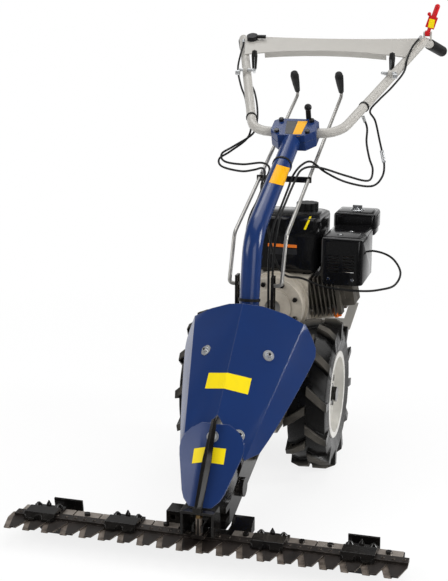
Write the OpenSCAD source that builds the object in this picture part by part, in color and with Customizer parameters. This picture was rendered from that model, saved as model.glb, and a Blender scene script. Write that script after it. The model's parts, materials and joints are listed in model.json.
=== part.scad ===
// Walk-behind sickle bar mower: two driven wheels, a gearbox with an engine behind it,
// a cutter bar in front, and a steering column that carries the handlebar and its levers.
// X runs across the machine, -Y is the front, +Z is up. The origin is on the ground, under
// the middle of the whole machine.

/* [Wheels] */
// Outside diameter of a tyre over its lugs
tyre_od = 400; // [396:1:404]
// Width of a tyre
tyre_w = 110; // [106:1:112]
// Diameter over the rim flanges
rim_od = 232; // [226:1:238]
// Distance between the wheel centres
track = 288; // [284:1:296]
// Lugs along each side of a tyre
lug_n = 12; // [11:1:13]

/* [Cutter bar] */
// Length of the cutter bar
bar_l = 924; // [832:46:1016]
// Spacing of the knife teeth
tooth_pitch = 46; // [45:0.5:46]
// Reach of a tooth in front of the knife strip
tooth_l = 58; // [52:1:62]
// Depth of the bar from front to back
bar_w = 80; // [78:1:86]
// Knife travel to each side
knife_travel = 15; // [12:1:15]
// Width of a hold-down clip
clip_w = 74; // [68:1:78]
// Width of a skid
skid_w = 72; // [60:1:80]

/* [Gearbox and shields] */
// Width of the gearbox
gear_w = 120; // [116:1:124]
// Diameter of the clutch bell
bell_d = 164; // [158:1:168]
// Width of the drive case
case_w = 90; // [86:1:94]
// Width of the main shield between its side folds
shield_w = 282; // [272:1:288]
// Height of the main shield
shield_h = 302; // [296:1:306]
// Thickness of the shield sheet
sheet_t = 2.5; // [2:0.1:3]

/* [Column and handlebar] */
// Diameter of the steering column
column_d = 50; // [48:1:52]
// Diameter of the handlebar tube
tube_d = 27; // [25.5:0.5:28]
// Distance between the handlebar's upper bends
handle_w = 582; // [570:2:594]
// Length of a hand grip
grip_l = 125; // [110:1:130]
// Width of the handlebar clamp
clamp_w = 128; // [124:1:132]

/* [Engine] */
// Width of the fuel tank
tank_w = 190; // [184:1:192]
// Length of the fuel tank
tank_l = 176; // [168:1:180]
// Height of the fuel tank
tank_h = 158; // [150:1:164]
// Width of the muffler guard
guard_w = 116; // [110:1:120]
// Width of the air filter
filter_w = 122; // [116:1:126]
// Fins on the cylinder
fin_n = 6; // [5:1:7]

/* [Controls] */
// Diameter of a control rod
rod_d = 10; // [9:0.5:11]
// Length of a control rod knob
knob_l = 82; // [74:1:86]
// Length of the safety lever
safety_l = 86; // [80:1:92]
// Diameter of a control cable
cable_d = 6; // [5:0.5:6.5]

/* [Hidden] */
$fn = 32;

// Colours
navy = "#1f3566";
black = "#1b1b1d";
soot = "#2c2b2a";
steel = "#8c8a86";
zinc = "#b9bbbd";
cast = "#9ea1a3";
pale = "#c9c7c3";
rubber = "#242424";
red = "#c3202b";
orange = "#ee7a1c";

// Fits and overruns
overrun = 1;
run_fit = 0.05;
clear = 0.4;
slide_gap = 0.3;
play = 0.6;
slot_play = 1;
wheel_gap = 3;

// Main heights and stations, from the wheel axle at y = 0 and the ground at z = 0
axle_z = tyre_od / 2;
crank_rise = 210;
crank_z = axle_z + crank_rise;
crank_y = 115;
wheel_x = track / 2;

// Cutter bar stack, from the ground up, and its stations
bar_z = 32;
bar_t = 10;
blade_t = 3;
strip_t = 6;
strip_w = 25;
strip_y = -630;
comb_z = bar_z + bar_t;
knife_z = comb_z + blade_t + slide_gap;
strip_z = knife_z + blade_t;
strip_top = strip_z + strip_t;
bar_lead = 6;
bar_y = strip_y - bar_lead;
tooth_n = floor(bar_l / tooth_pitch);
tooth_shift = 7;
tooth_root_share = 0.94;
tooth_tip_share = 0.34;
tooth_back_share = 0.42;
pin_d = 16;
pin_h = 48;
pin_lead = 5;
pin_y = strip_y - pin_lead;
head_w = 28;
head_t = 8;
rivet_d = 8;
rivet_h = 2;

// Wear plates behind the knife and their bolts
wear_t = 5;
wear_n = 12;
wear_gap = 3;
wear_back = 1.5;
wear_y = strip_y + strip_w + wear_back;
wear_w = 40;
wear_scallop_share = 0.3;
wear_centre_free = 62;
wear_bolt_d = 13;
wear_bolt_h = 6;

// Hold-down clips: places along the bar and the folded profile
clip_places_share = [-0.417, -0.203, 0.169, 0.387];
clip_t = 6;
clip_rise = 5;
clip_lip = 18;
clip_lobe_d = 30;
clip_bolt_spread_share = 0.7;
dome_d = 17;
dome_h = 11;
spike_d = 12;
spike_h = 20;

// Skids
skid_x_share = 0.385;
skid_t = 5;
skid_y0 = -634;
skid_y1 = -562;
skid_r = 34;
skid_tail = 20;
skid_bolt_d = 15;
skid_bolt_h = 6;

// Arch over the drive pin, saddle and stalk divider
arch_t = 6;
arch_gap = 2;
arch_y0 = -652;
arch_y1 = -584;
arch_top = 121;
arch_foot = 20;
saddle_l = 100;
saddle_t = 9;
saddle_y1 = -520;
saddle_box_h = 34;
saddle_hole = 11;
divider_low = [0, -650, 128];
divider_foot = 14;
divider_top = [0, -518, 294];
divider_w = 22;
divider_tip_share = 0.55;
divider_t = 4;

// Rocker arm that moves the knife
rocker_y = -560;
rocker_z = 72;
rocker_t = 16;
rocker_boss_d = 40;
rocker_shaft_d = 22;
rocker_prong = 4.5;
rocker_tail = 13;
rocker_arm_l = rocker_y - pin_y;
// The arch leaves room for the fork at the end of its travel
arch_x = knife_travel * (rocker_arm_l + rocker_tail) / rocker_arm_l + pin_d / 2 + play + rocker_prong
    + arch_gap;

// Drive case from the gearbox to the bar
case_y0 = -572;
case_y1 = -150;
case_z0 = 46;
case_h = 190;
case_wall = 6;
case_outline_share = [[0, 0.02], [0.14, 0], [0.42, 0.16], [0.72, 0.33], [1, 0.46], [1, 1],
    [0.76, 0.92], [0.3, 0.5], [0.1, 0.32], [0, 0.3]];
case_inner_share = [[0.16, 0.06], [0.42, 0.22], [0.72, 0.39], [0.96, 0.52], [0.96, 0.93], [0.76, 0.86],
    [0.3, 0.44], [0.16, 0.3]];
case_boss_d = 46;
case_boss_t = 12;
case_boss_share = 0.3;

// Gearbox
gear_y0 = -245;
gear_y1 = 85;
gear_drop = 78;
gear_rise = 127;
gear_z0 = axle_z - gear_drop;
gear_z1 = axle_z + gear_rise;
gear_wall = 9;
gear_outline_share = [[0, 0.62], [0.2, 0.3], [0.3, 0.06], [0.36, 0], [0.88, 0], [1, 0.14], [1, 1], [0.02, 1],
    [0, 0.95]];
rib_t = 7;
rib_h = 5;
rib_n = 3;
axle_tube_d = 72;
shaft_d = 25;
fill_plug_d = 26;
fill_plug_h = 10;

// Clutch bell
bell_y0 = 58;
bell_wall = 8;
bell_lip = 14;
bell_ring_d = bell_d + bell_lip;
bell_ring_t = 12;
bell_foot_w = 104;
bell_bolt_r = bell_d * 0.41;
bell_bolt_n = 8;
drum_d = bell_d * 0.66;

// Half shafts, hubs and rims
hub_d = 58;
hub_flange_d = 128;
hub_flange_t = 8;
hub_nose = 26;
wheel_bolt_n = 4;
wheel_bolt_r = 48;
wheel_bolt_d = 12;
rim_t = 3;
rim_flange_t = 4;
rim_dish = 24;
rim_lip = 13;
rim_well = 14;
rim_seat_r = rim_od / 2 - rim_lip;
rim_well_r = rim_seat_r - rim_well;
rim_half = tyre_w * 0.45;
valve_d = 9;
lug_h = 17;
carcass_r = tyre_od / 2 - lug_h;
wall_r_share = [0.45, 0.86];
tyre_wall = 8;
// Stations round one lug pitch as shares of it, and the side whose lug stands at each
lug_steps_share = [0, 0.03, 0.24, 0.27, 0.5, 0.53, 0.74, 0.77];
lug_sides = [0, -1, -1, 0, 0, 1, 1, 0];
lug_sweep_share = -0.4;
// The bead grows so that its flats stay clear of the round rim
chord_share = 1 / cos(0.12 * 360 / lug_n);

// Main shield: places as shares of its width, its forward run and its height
shield_y = -263;
shield_z = axle_z;
shield_run = 257;
ridge_share = [[0, 0, 1], [0, 0.872, 0.308]];
fold_share = [[0.5, -0.245, 0.805], [0.262, 1, 0]];
wing_dir = [0.405, 0.913, 0];
wing_w = 126;
wing_shares = [0.04, 0.34, 0.62, 0.86, 1, 0.99, 0.95, 0.9, 0.84, 0.77, 0.69, 0.59, 0.45];
wing_drop_share = 0.3;
crown = 48;
crown_shares = [0.3, 0.68];
shield_rows = len(wing_shares) - 1;
shield_bolt_shares = [[0.32, 0.65], [0.93, 0.66]];
washer_d = 28;
washer_t = 2;
button_d = 17;
button_h = 7;
stay_d = 12;
stay_pad_d = 30;
stay_pad_t = 5;

// Lower shield: half widths down its length
low_top = [0, -505, 277];
low_bot = [0, -632, 124];
low_half = 76;
low_shares = [0.43, 0.74, 0.91, 0.99, 1, 0.96, 0.9, 0.84, 0.78, 0.72, 0.66, 0.56, 0.35];
low_bend = 10;
low_bolt_share = 0.16;

// Column: foot, knee and top, as [y, z]
column_t = 3;
foot_z = gear_z1;
foot_t = 12;
foot_w = 110;
foot_y0 = -262;
foot_y1 = -170;
column_foot = [0, -225, foot_z + foot_t];
knee_rise = 323;
column_knee = [0, -170, foot_z + knee_rise];
column_bend = 110;
socket_lip = 12;
socket_d = column_d + socket_lip;
socket_h = 60;
guide_s = 0.8;
guide_t = 6;
guide_w = 16;

// Handlebar path, clamp and panel
clamp_l = 92;
hub_rise = 528;
bend_rise = 765;
bar_hub = [0, 310, foot_z + hub_rise];
hub_half = 124;
upper_bend = [handle_w / 2, 836, foot_z + bend_rise];
column_way = unit(bar_hub - column_knee);
column_lean = unit(column_knee - column_foot);
column_top = bar_hub - column_way * clamp_l * 0.62;
grip_run = [40, 170, -38];
hub_bend = 70;
top_bend = 42;
tube_t = 2;
grip_d = 34;
clamp_h = 26;
clamp_lid_t = 10;
clamp_outline_share = [[-0.3, -0.62], [-0.5, -0.3], [-0.5, 0.26], [-0.38, 0.4], [0.38, 0.4], [0.5, 0.26],
    [0.5, -0.3], [0.3, -0.62]];
panel_t = 3;
panel_from = 0.755;
panel_to = 0.975;
panel_sag = 34;
panel_n = 8;
panel_lip = 16;
clamp_lever_l = 60;

// Engine pieces, from the crank axis
case_half_w = 84;
engine_l = 140;
base_drop = 113;
base_z = crank_z - base_drop;
base_t = 10;
base_w = 160;
crank_d = 34;
web_d = 96;
web_t = 16;
flywheel_d = 132;
flywheel_t = 26;
case_top = 72;
slant = 10;
barrel_u = 78;
barrel_l = 84;
barrel_d = 92;
fin_t = 3;
fin_w = 122;
fin_h = 108;
head_l = 22;
cover_l = 24;
cover_w = 86;
cover_h = 70;
blower_l = 74;
blower_w = 224;
blower_h = 178;
blower_wall = 3;
cover_d = 176;
cover_depth = 62;
slot_n = 12;
slot_w = 9;
slot_l = 40;
pull_w = 62;
pull_d = 20;
pull_x = -62;
pull_rise = 64;
tank_x = 12;
tank_y = 150;
tank_rise = 78;
tank_z = crank_z + tank_rise;
tank_wall = 2.5;
tank_r = 26;
tank_shares = [[0, 0.06], [0.06, 0], [0.94, 0], [1, 0.06], [1, 0.8], [0.93, 0.94], [0.8, 1], [0.34, 1],
    [0.16, 0.93], [0.05, 0.78], [0, 0.64]];
neck_d = 46;
neck_h = 6;
cap_d = 62;
cap_h = 18;
cap_x = 46;
cap_y = 276;
guard_gap = 7;
guard_x = tank_x + tank_w / 2 + guard_gap;
guard_y = 118;
guard_l = 192;
guard_h = 130;
guard_rise = 60;
guard_z = crank_z + guard_rise;
guard_t = 2;
guard_r = 16;
louvres = 6;
louvre_shares = [0.32, 0.68];
louvre_w = 30;
louvre_h = 3;
louvre_pitch = 8.5;
edge_cuts = 9;
edge_pitch = 8;
side_cuts = 7;
side_pitch = 22;
muffler_gap = 9;
muffler_lift = 34;
pipe_d = 30;
filter_gap = 5;
filter_x = tank_x + tank_w / 2 + filter_gap;
filter_y = 318;
filter_l = 104;
filter_h = 64;
filter_rise = 160;
filter_z = crank_z + filter_rise;
filter_r = 16;
filter_wall = 2.5;
wing_nut_d = 34;
wing_nut_h = 8;
carb_x = 116;
carb_y = 316;
carb_rise = 58;
carb_z = crank_z + carb_rise;
carb_w = 52;
carb_l = 36;
intake_d = 20;
carb_h = 60;
elbow_d = 30;
screw_d = 9;
screw_h = 3;
oil_x = 150;
oil_y = 176;
oil_drop = 34;
oil_z = crank_z - oil_drop;
oil_neck_d = 24;
plug_d = 30;
plug_h = 16;
rail_x = 48;
rail_t = 8;
rail_h = 25;
rear_y = 404;
rear_half = 158;
upright_h = 78;
upright_w = 26;
upright_lean = 16;
bolt_d = 14;
bolt_h = 8;

// Control rods: low end, knee and upper end on the left side, then the knob
rod_x = 68;
rod_rises = [193, 313, 606];
rod_runs = [-140, -92, 655];
rod_low = [rod_x, rod_runs[0], foot_z + rod_rises[0]];
rod_knee = [rod_x, rod_runs[1], foot_z + rod_rises[1]];
rod_up = [rod_x, rod_runs[2], foot_z + rod_rises[2]];
rod_bend = 34;
rod_hook = 18;
knob_lean = 43;
knob_d = 26;
knob_neck_share = 0.6;

// Selector levers
selector_y = rod_runs[0];
selector_rise = 45;
selector_z = foot_z + selector_rise;
selector_t = 7;
selector_w = 26;
selector_shaft_d = 14;
selector_slot = 34;
selector_post_w = 30;

// Hand levers on the arms
lever_s = 0.545;
lever_in = 20;
lever_out = 24;
lever_spread = 19;
lever_rod_d = 9;
lever_back = 83;
lever_up = -12;
lever_knob_d = 19;
lever_knob_l = 60;
lever_crank = 34;
lever_eye_d = 18;

// Safety lever and throttle lever at the upper bends
safety_rise = 23;
safety_lean = 18;
safety_plate = [28, 6, 38];
safety_plate_z = 17;
safety_d = 16;
safety_knob_d = 12;
bracket_t = 5;
throttle_s = 0.93;
throttle_in = 30;
throttle_l = 44;
throttle_d = 34;
throttle_t = 14;
throttle_lever_w = 9;
lever_eye_w = 15;
lever_pin_d = 9;
lever_bush_d = 17;
lever_bush_l = 12;
handle_skew = [0, -0.41, 0.91];

// Cable routes, each a list of places chosen along the machine
left_route = [[-200, 588, 960], [-178, 540, 946], [-152, 470, 912], [-134, 400, 876], [-134, 350, 842],
    [-182, 310, 808], [-208, 285, 790], [-192, 258, 772], [-132, 230, 770], [-70, 205, 780], [-40, 168, 770],
    [-37, 100, 744], [-36, 20, 708], [-38, -60, 672], [-38, -105, 600], [-36, -114, 510], [-34, -100, 420],
    [-32, -88, 327.7]];
right_route = [[168, 446, 892], [184, 426, 862], [186, 412, 822], [198, 395, 780], [212, 376, 748],
    [204, 346, 722], [150, 290, 742], [98, 240, 766], [66, 204, 775], [46, 168, 768], [44, 100, 746],
    [42, 20, 712], [42, -60, 676], [40, -105, 604], [38, -114, 510], [36, -100, 420], [34, -88, 327.7]];
safety_route = [[283, 812, 1106], [266, 748, 1078], [258, 694, 1044], [254, 657, 1007], [226, 601, 964],
    [200, 535, 933], [184, 472, 906], [204, 446, 880], [222, 426, 824], [240, 402, 766], [238, 380, 728],
    [212, 350, 706], [150, 292, 724], [98, 250, 756], [66, 212, 788], [44, 180, 780], [30, 144, 756],
    [28, 100, 730], [26, 20, 690], [26, -60, 654], [24, -92, 590], [22, -88, 500], [20, -76, 410],
    [18, -66, 327.7]];
throttle_route = [[-276, 780, 1088.5], [-268, 748, 1074.5], [-264, 706, 1054], [-262, 660, 1006],
    [-236, 600, 958], [-204, 530, 928], [-176, 450, 896], [-150, 392, 862], [-150, 346, 828],
    [-190, 308, 794], [-214, 280, 776], [-198, 252, 758], [-134, 220, 752], [-92, 204, 760], [-66, 188, 768],
    [-50, 156, 760], [-46, 100, 730], [-20, 30, 688], [4, -20, 636], [24, -22, 560], [42, 22, 510],
    [72, 92, 488], [124, 108, 466],
    [180, 110, 460],
    [238, 113, 459], [278, 132, 461], [312, 174, 466], [320, 230, 490], [288, 288, 516], [236, 328, 524],
    [172, 334, 520]];
cable_sides = 8;
cable_step = 2;
cable_skew = [0.93, 0.21, 0.31];
rod_skew = [0.6, -0.35, 0.3];
lever_skew = [0.35, -0.4, 0.9];
bar_sides = 16;
column_sides = 24;
rod_sides = 12;
bend_steps = 5;
tie_w = 7;
tie_t = 2;

front_reach = -strip_y + tooth_l;
grip_way = unit(grip_run);
rear_reach = upper_bend.y + grip_run.y + tube_t * grip_way.y + grip_d / 2 * norm([grip_way.x, grip_way.z]);
mid_y = (rear_reach - front_reach) / 2;

// Helpers

function unit(v) = v / norm(v);
function mix(a, b, t) = a + (b - a) * t;
function flip(p) = [-p.x, p.y, p.z];
function aim(v) = [0, acos(v.z / norm(v)), atan2(v.y, v.x)];
function fit(shares, size, at) = [for (p = shares) [at.x + p.x * size.x, at.y + p.y * size.y]];
function arc(c, r, a0, a1, n) = [for (i = [0:n]) let (a = mix(a0, a1, i / n)) c + r * [cos(a), sin(a)]];
function round_rect(w, h, r) = concat(
    arc([w / 2 - r, h / 2 - r], r, 0, 90, 5), arc([r - w / 2, h / 2 - r], r, 90, 180, 5),
    arc([r - w / 2, r - h / 2], r, 180, 270, 5), arc([w / 2 - r, r - h / 2], r, 270, 360, 5));

module box(lo, hi) translate(lo) cube(hi - lo);

// A box standing on its foot, whose upright and upper edges are rounded
module soft_box(w, l, h, r) intersection() {
    linear_extrude(h) polygon(round_rect(w, l, r));
    rotate([90, 0, 0]) linear_extrude(l, center = true) polygon(round_rect(w, 2 * h, r));
    rotate([90, 0, 90]) linear_extrude(w, center = true) polygon(round_rect(l, 2 * h, r));
}
module bar_x(d, a, b, y, z) translate([a, y, z]) rotate([0, 90, 0]) cylinder(d = d, h = b - a);
module bar_y(d, a, b, x, z) translate([x, a, z]) rotate([-90, 0, 0]) cylinder(d = d, h = b - a);
module bar_z(d, a, b, x, y) translate([x, y, a]) cylinder(d = d, h = b - a);
module side_prism(w, points) rotate([90, 0, 90]) linear_extrude(w, center = true) polygon(points);
module both() {
    children();
    mirror([1, 0, 0]) children();
}
module link(a, b, d) translate(a) rotate(aim(b - a)) cylinder(d = d, h = norm(b - a));
module stand(p, dir) translate(p) rotate(aim(dir)) children();
module hex(d, h) cylinder(d = d, h = h, $fn = 6);

// Stations of a bent bar, each a place and a way: straight runs joined by round bends
function bend_stations(path, radii, steps) = let (
    last = len(path) - 1,
    ways = [for (i = [0:last - 1]) unit(path[i + 1] - path[i])])
    concat([[path[0], ways[0]]],
        [for (i = [1:last - 1]) let (
            a = ways[i - 1],
            turn = acos(a * ways[i]),
            n = unit(ways[i] - a * (a * ways[i])),
            r = radii[i - 1],
            c = path[i] - a * r * tan(turn / 2) + n * r)
            for (k = [0:steps]) let (g = turn * k / steps) [c + r * (a * sin(g) - n * cos(g)), a * cos(g)
                + n * sin(g)]],
        [[path[last], ways[last - 1]]]);

// A round bar, or a tube where wall is over zero, swept through its stations
function sweep_rings(stations, d, sides, skew) = [for (s = stations) let (u = unit(cross(s[1], skew)),
    v = cross(s[1], u))
    for (k = [0:sides - 1]) let (g = 360 * k / sides) s[0] + d / 2 * (u * cos(g) + v * sin(g))];
module sweep(stations, d, sides, skew, wall = 0) {
    m = len(stations);
    q = m * sides;
    pairs = [for (i = [0:m - 2], k = [0:sides - 1]) [i * sides + k, i * sides + (k + 1) % sides]];
    walls = [for (e = pairs) each
        [[e[1], e[0], e[0] + sides], [e[1], e[0] + sides, e[1] + sides]]];
    first = [for (k = [0:sides - 1]) [k, (k + 1) % sides]];
    final = [for (e = first) e + [1, 1] * (m - 1) * sides];
    if (wall == 0) {
        polyhedron(sweep_rings(stations, d, sides, skew),
            concat(walls, [[for (e = first) e[0]], [for (k = [sides - 1:-1:0]) final[k][0]]]));
    } else {
        lining = [for (f = walls) [f[1] + q, f[0] + q, f[2] + q]];
        mouths = concat(
            [for (e = first) each [[e[0], e[1], e[1] + q], [e[0], e[1] + q, e[0] + q]]],
            [for (e = final) each [[e[1], e[0], e[0] + q], [e[1], e[0] + q, e[1] + q]]]);
        polyhedron(concat(sweep_rings(stations, d, sides, skew), sweep_rings(stations, d - 2 * wall, sides,
            skew)),
            concat(walls, lining, mouths));
    }
}
module ring(d, t) difference() {
    circle(d = d);
    circle(d = d - 2 * t);
}

// A closed sheet between two grids of points, outer and inner
module sheet(outer, inner) {
    m = len(outer);
    k = len(outer[0]);
    both_sides = concat([for (row = outer, p = row) p], [for (row = inner, p = row) p]);
    top = [for (i = [0:m - 2], j = [0:k - 2]) each
        [[i * k + j, i * k + j + 1, (i + 1) * k + j + 1], [i * k + j, (i + 1) * k + j + 1, (i + 1) * k + j]]];
    under = [for (f = top) [f[2] + m * k, f[1] + m * k, f[0] + m * k]];
    rim_points = concat([for (j = [0:k - 1]) j], [for (i = [1:m - 1]) i * k + k - 1],
        [for (j = [k - 2:-1:0]) (m - 1) * k + j], [for (i = [m - 2:-1:1]) i * k]);
    e = len(rim_points);
    rim_faces = [for (i = [0:e - 1]) let (a = rim_points[i], b = rim_points[(i + 1) % e]) each
        [[b, a, a + m * k], [b, a + m * k, b + m * k]]];
    polyhedron(both_sides, concat(top, under, rim_faces));
}

// A cable: a round bar swept through a smooth curve along its route
function spline(p, i, t) = let (a = p[max(i - 1, 0)], b = p[i], c = p[i + 1], d = p[min(i + 2, len(p) - 1)])
    0.5 * (2 * b + (c - a) * t + (2 * a - 5 * b + 4 * c - d) * t * t + (3 * b - a - 3 * c + d) * t * t * t);
function route_points(p) = concat(
    [for (i = [0:len(p) - 2], s = [0:cable_step - 1]) spline(p, i, s / cable_step)], [p[len(p) - 1]]);
module cable(route) {
    c = route_points(route);
    m = len(c);
    sweep([for (i = [0:m - 1]) [c[i], unit(c[min(i + 1, m - 1)] - c[max(i - 1, 0)])]], cable_d,
        cable_sides, cable_skew);
}

// Cutter bar

module teeth(shift, z) {
    root = tooth_pitch * tooth_root_share / 2;
    tip = tooth_pitch * tooth_tip_share / 2;
    back = strip_y + strip_w * tooth_back_share;
    for (i = [0:tooth_n - 1]) {
        translate([(i - (tooth_n - 1) / 2) * tooth_pitch + shift, 0, z])
            linear_extrude(blade_t)
            polygon([[-root, back], [-root, strip_y - tooth_l * 0.12], [-tip, strip_y - tooth_l],
                [tip, strip_y - tooth_l], [root, strip_y - tooth_l * 0.12], [root, back]]);
    }
}
knife_l = tooth_n * tooth_pitch - tooth_pitch * (1 - tooth_root_share);

module bar_back() color(soot) {
    half = bar_l / 2 - tooth_pitch / 4;
    difference() {
        box([-half, bar_y, bar_z], [half, bar_y + bar_w, comb_z]);
        for (x = skid_bolt_places()) bar_z(skid_bolt_d / 2, bar_z - overrun, comb_z + overrun, x,
            skid_bolt_y());
    }
}

module lower_knife() color(steel) {
    teeth(-tooth_shift, comb_z);
    box([-knife_l / 2 - tooth_shift, strip_y, comb_z],
        [knife_l / 2 - tooth_shift, strip_y + strip_w, comb_z + blade_t]);
}

module upper_knife() color(soot) {
    teeth(tooth_shift, knife_z);
    box([-knife_l / 2 + tooth_shift, strip_y, knife_z], [knife_l / 2 + tooth_shift, strip_y + strip_w,
        strip_top]);
    for (i = [0:tooth_n - 1], s = [-1, 1]) {
        x = (i - (tooth_n - 1) / 2) * tooth_pitch + tooth_shift + s * tooth_pitch / 4;
        if (abs(x) > head_w / 2 + rivet_d) bar_z(rivet_d, strip_top, strip_top + rivet_h, x,
            strip_y + strip_w / 2);
    }
    box([-head_w / 2, strip_y - strip_w * 0.6, strip_top], [head_w / 2, strip_y + strip_w,
        strip_top + head_t]);
    bar_z(pin_d, strip_top + head_t, strip_top + head_t + pin_h - bolt_h, 0, pin_y);
    translate([0, pin_y, strip_top + head_t + pin_h - bolt_h]) hex(bolt_d * 1.2, bolt_h);
}

// Wear plates stand side by side, clear of the clips' bolts, with scalloped fronts
module wear_plates() color(pale) {
    half = bar_l / 2 - tooth_pitch / 4;
    l = (half - wear_centre_free) / (wear_n / 2);
    for (s = [-1, 1], i = [0:wear_n / 2 - 1]) {
        x = s * (wear_centre_free + l * (i + 0.5));
        difference() {
            box([x - (l - wear_gap) / 2, wear_y, comb_z], [x + (l - wear_gap) / 2, wear_y + wear_w,
                comb_z + wear_t]);
            for (k = [-1, 1]) {
                bar_z(wear_w * wear_scallop_share, comb_z - overrun, comb_z + wear_t + overrun,
                    x + k * l / 4, wear_y);
            }
        }
    }
}

function clip_xs() = [for (p = clip_places_share) p * bar_l];
function clip_top() = strip_top + clip_rise;
function clip_bolt_y() = wear_y + wear_w * 0.55;

// One folded clip: a foot on the wear plates, a bridge over the strip and a lobed lip on the teeth
module hold_down_clips() color(black) {
    y0 = strip_y - clip_lip;
    y1 = wear_y + wear_w;
    lip_z = strip_z + slide_gap * 2;
    foot_low = comb_z + wear_t;
    profile = [[y0, lip_z], [strip_y - slide_gap * 3, lip_z], [strip_y - slide_gap * 3, clip_top()],
        [wear_y, clip_top()], [wear_y + clip_rise, foot_low], [y1, foot_low], [y1, foot_low + clip_t],
        [wear_y + clip_rise * 2, foot_low + clip_t], [wear_y + clip_rise, clip_top() + clip_t],
        [strip_y - clip_t, clip_top() + clip_t], [y0, lip_z + clip_t]];
    for (x = clip_xs()) translate([x, 0, 0]) {
        difference() {
            side_prism(clip_w, profile);
            for (s = [-1, 1]) bar_z(clip_lobe_d * 0.4, lip_z - overrun, lip_z + clip_t * 2, s * clip_w / 2,
                y0);
            bar_z(clip_lobe_d * 0.6, lip_z - overrun, lip_z + clip_t * 2, 0, y0);
        }
    }
}

function wear_bolt_xs() = let (half = bar_l / 2 - tooth_pitch / 4, l = (half - wear_centre_free)
    / (wear_n / 2))
    [for (s = [-1, 1], i = [0:wear_n / 2 - 1]) s * (wear_centre_free + l * (i + 0.5))];
function free_of_clips(x) = min([for (c = clip_xs()) abs(x - c)]) > clip_w / 2 + wear_bolt_d;

module bar_bolts() color(black) {
    y = wear_y + wear_w * 0.55;
    for (x = wear_bolt_xs()) {
        if (free_of_clips(x)) translate([x, y, comb_z + wear_t]) hex(wear_bolt_d * 1.15, wear_bolt_h);
    }
    z = comb_z + wear_t + clip_t;
    for (x = clip_xs(), s = [-1, 1]) translate([x + s * clip_w * clip_bolt_spread_share / 2, clip_bolt_y(),
        z]) {
        hex(dome_d * 1.15, dome_h * 0.6);
        translate([0, 0, dome_h * 0.6]) cylinder(d1 = dome_d, d2 = dome_d * 0.45, h = dome_h * 0.5);
    }
    for (x = clip_xs()) translate([x, clip_bolt_y(), z]) {
        cylinder(d = spike_d, h = spike_h * 0.5);
        translate([0, 0, spike_h * 0.5]) cylinder(d1 = spike_d, d2 = spike_d * 0.2, h = spike_h * 0.5);
    }
}

function skid_bolt_places() = [for (s = [-1, 1], k = [-1, 1]) s * skid_x_share * bar_l + k * skid_w * 0.3];
function skid_bolt_y() = skid_y0 + bar_w * 0.4;

// A runner under the bar whose tail curls up behind it
module skids() color(black) {
    c = [skid_y1, skid_r];
    outer = arc(c, skid_r, -90, 10, 8);
    inner = arc(c, skid_r - skid_t, 10, -90, 8);
    tail = skid_tail * [-sin(10), cos(10)];
    outline = concat([[skid_y0 + bar_z, 0]], outer, [outer[8] + tail, inner[0] + tail], inner,
        [[skid_y0 + bar_z + skid_t * (sqrt(2) - 1), skid_t],
        [skid_y0 + skid_t * (sqrt(2) + 1), bar_z - skid_t],
        [skid_y0 + skid_t + bar_w * 0.5, bar_z - skid_t], [skid_y0 + skid_t + bar_w * 0.5, bar_z],
        [skid_y0, bar_z]]);
    difference() {
        for (s = [-1, 1]) translate([s * skid_x_share * bar_l, 0, 0]) side_prism(skid_w, outline);
        for (x = skid_bolt_places()) {
            bar_z(skid_bolt_d / 2, bar_z - skid_t - overrun, bar_z + overrun, x, skid_bolt_y());
        }
    }
}

module skid_bolts() color(zinc) {
    for (x = skid_bolt_places()) {
        bar_z(skid_bolt_d / 2 - run_fit * 2, bar_z - skid_t - skid_bolt_h / 2, comb_z, x, skid_bolt_y());
        translate([x, skid_bolt_y(), bar_z - skid_t - skid_bolt_h]) hex(skid_bolt_d * 1.15, skid_bolt_h);
    }
}

// Two cheeks and a roof over the drive pin, standing on feet at both sides
module centre_bracket() color(black) {
    z0 = comb_z;
    over = strip_top + clip_rise;
    cheek_outline = [[arch_y1, z0], [wear_y, z0], [wear_y, over], [arch_y0 + arch_foot, over],
        [arch_y0, over + clip_rise], [arch_y0, arch_top], [arch_y1 - arch_foot, arch_top]];
    both() translate([arch_x + arch_t / 2, 0, 0]) side_prism(arch_t, cheek_outline);
    box([-arch_x, arch_y0, arch_top - arch_t], [arch_x, arch_y1 - arch_foot, arch_top]);
    both() box([arch_x, arch_y1 - arch_foot * 0.6, z0], [arch_x + arch_foot * 0.7, arch_y1, z0 + wear_t]);
}

// Saddle that carries the bar on the drive case: a plate with a box on one side and a wing on the other
module bar_saddle() color(soot) {
    y0 = bar_y + bar_w;
    z1 = bar_z + bar_t;
    difference() {
        box([-saddle_l, y0, bar_z], [saddle_l, saddle_y1, z1]);
        box([-case_w / 2 - clear, y0 - overrun, bar_z - overrun], [case_w / 2 + clear, saddle_y1 + overrun,
            z1 + overrun]);
    }
    x1 = -case_w / 2 - clear;
    difference() {
        box([-saddle_l, y0 - saddle_t, z1 + wear_t], [x1, saddle_y1, z1 + saddle_box_h]);
        for (k = [0.3, 0.7]) {
            x = mix(-saddle_l, x1, k);
            box([x - saddle_hole / 2, y0 - saddle_t - overrun, z1 + saddle_box_h * 0.4],
                [x + saddle_hole / 2, y0 + saddle_t, z1 + saddle_box_h * 0.4 + saddle_hole]);
        }
    }
    box([-saddle_l, y0, z1 - overrun], [x1, saddle_y1, z1 + wear_t + overrun]);
    side_wing = [[y0, z1], [saddle_y1, z1], [saddle_y1, z1 + saddle_box_h * 0.7], [y0 + saddle_t,
        z1 + saddle_t]];
    translate([saddle_l - saddle_l / 4, 0, 0]) side_prism(saddle_l / 2, side_wing);
}

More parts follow.
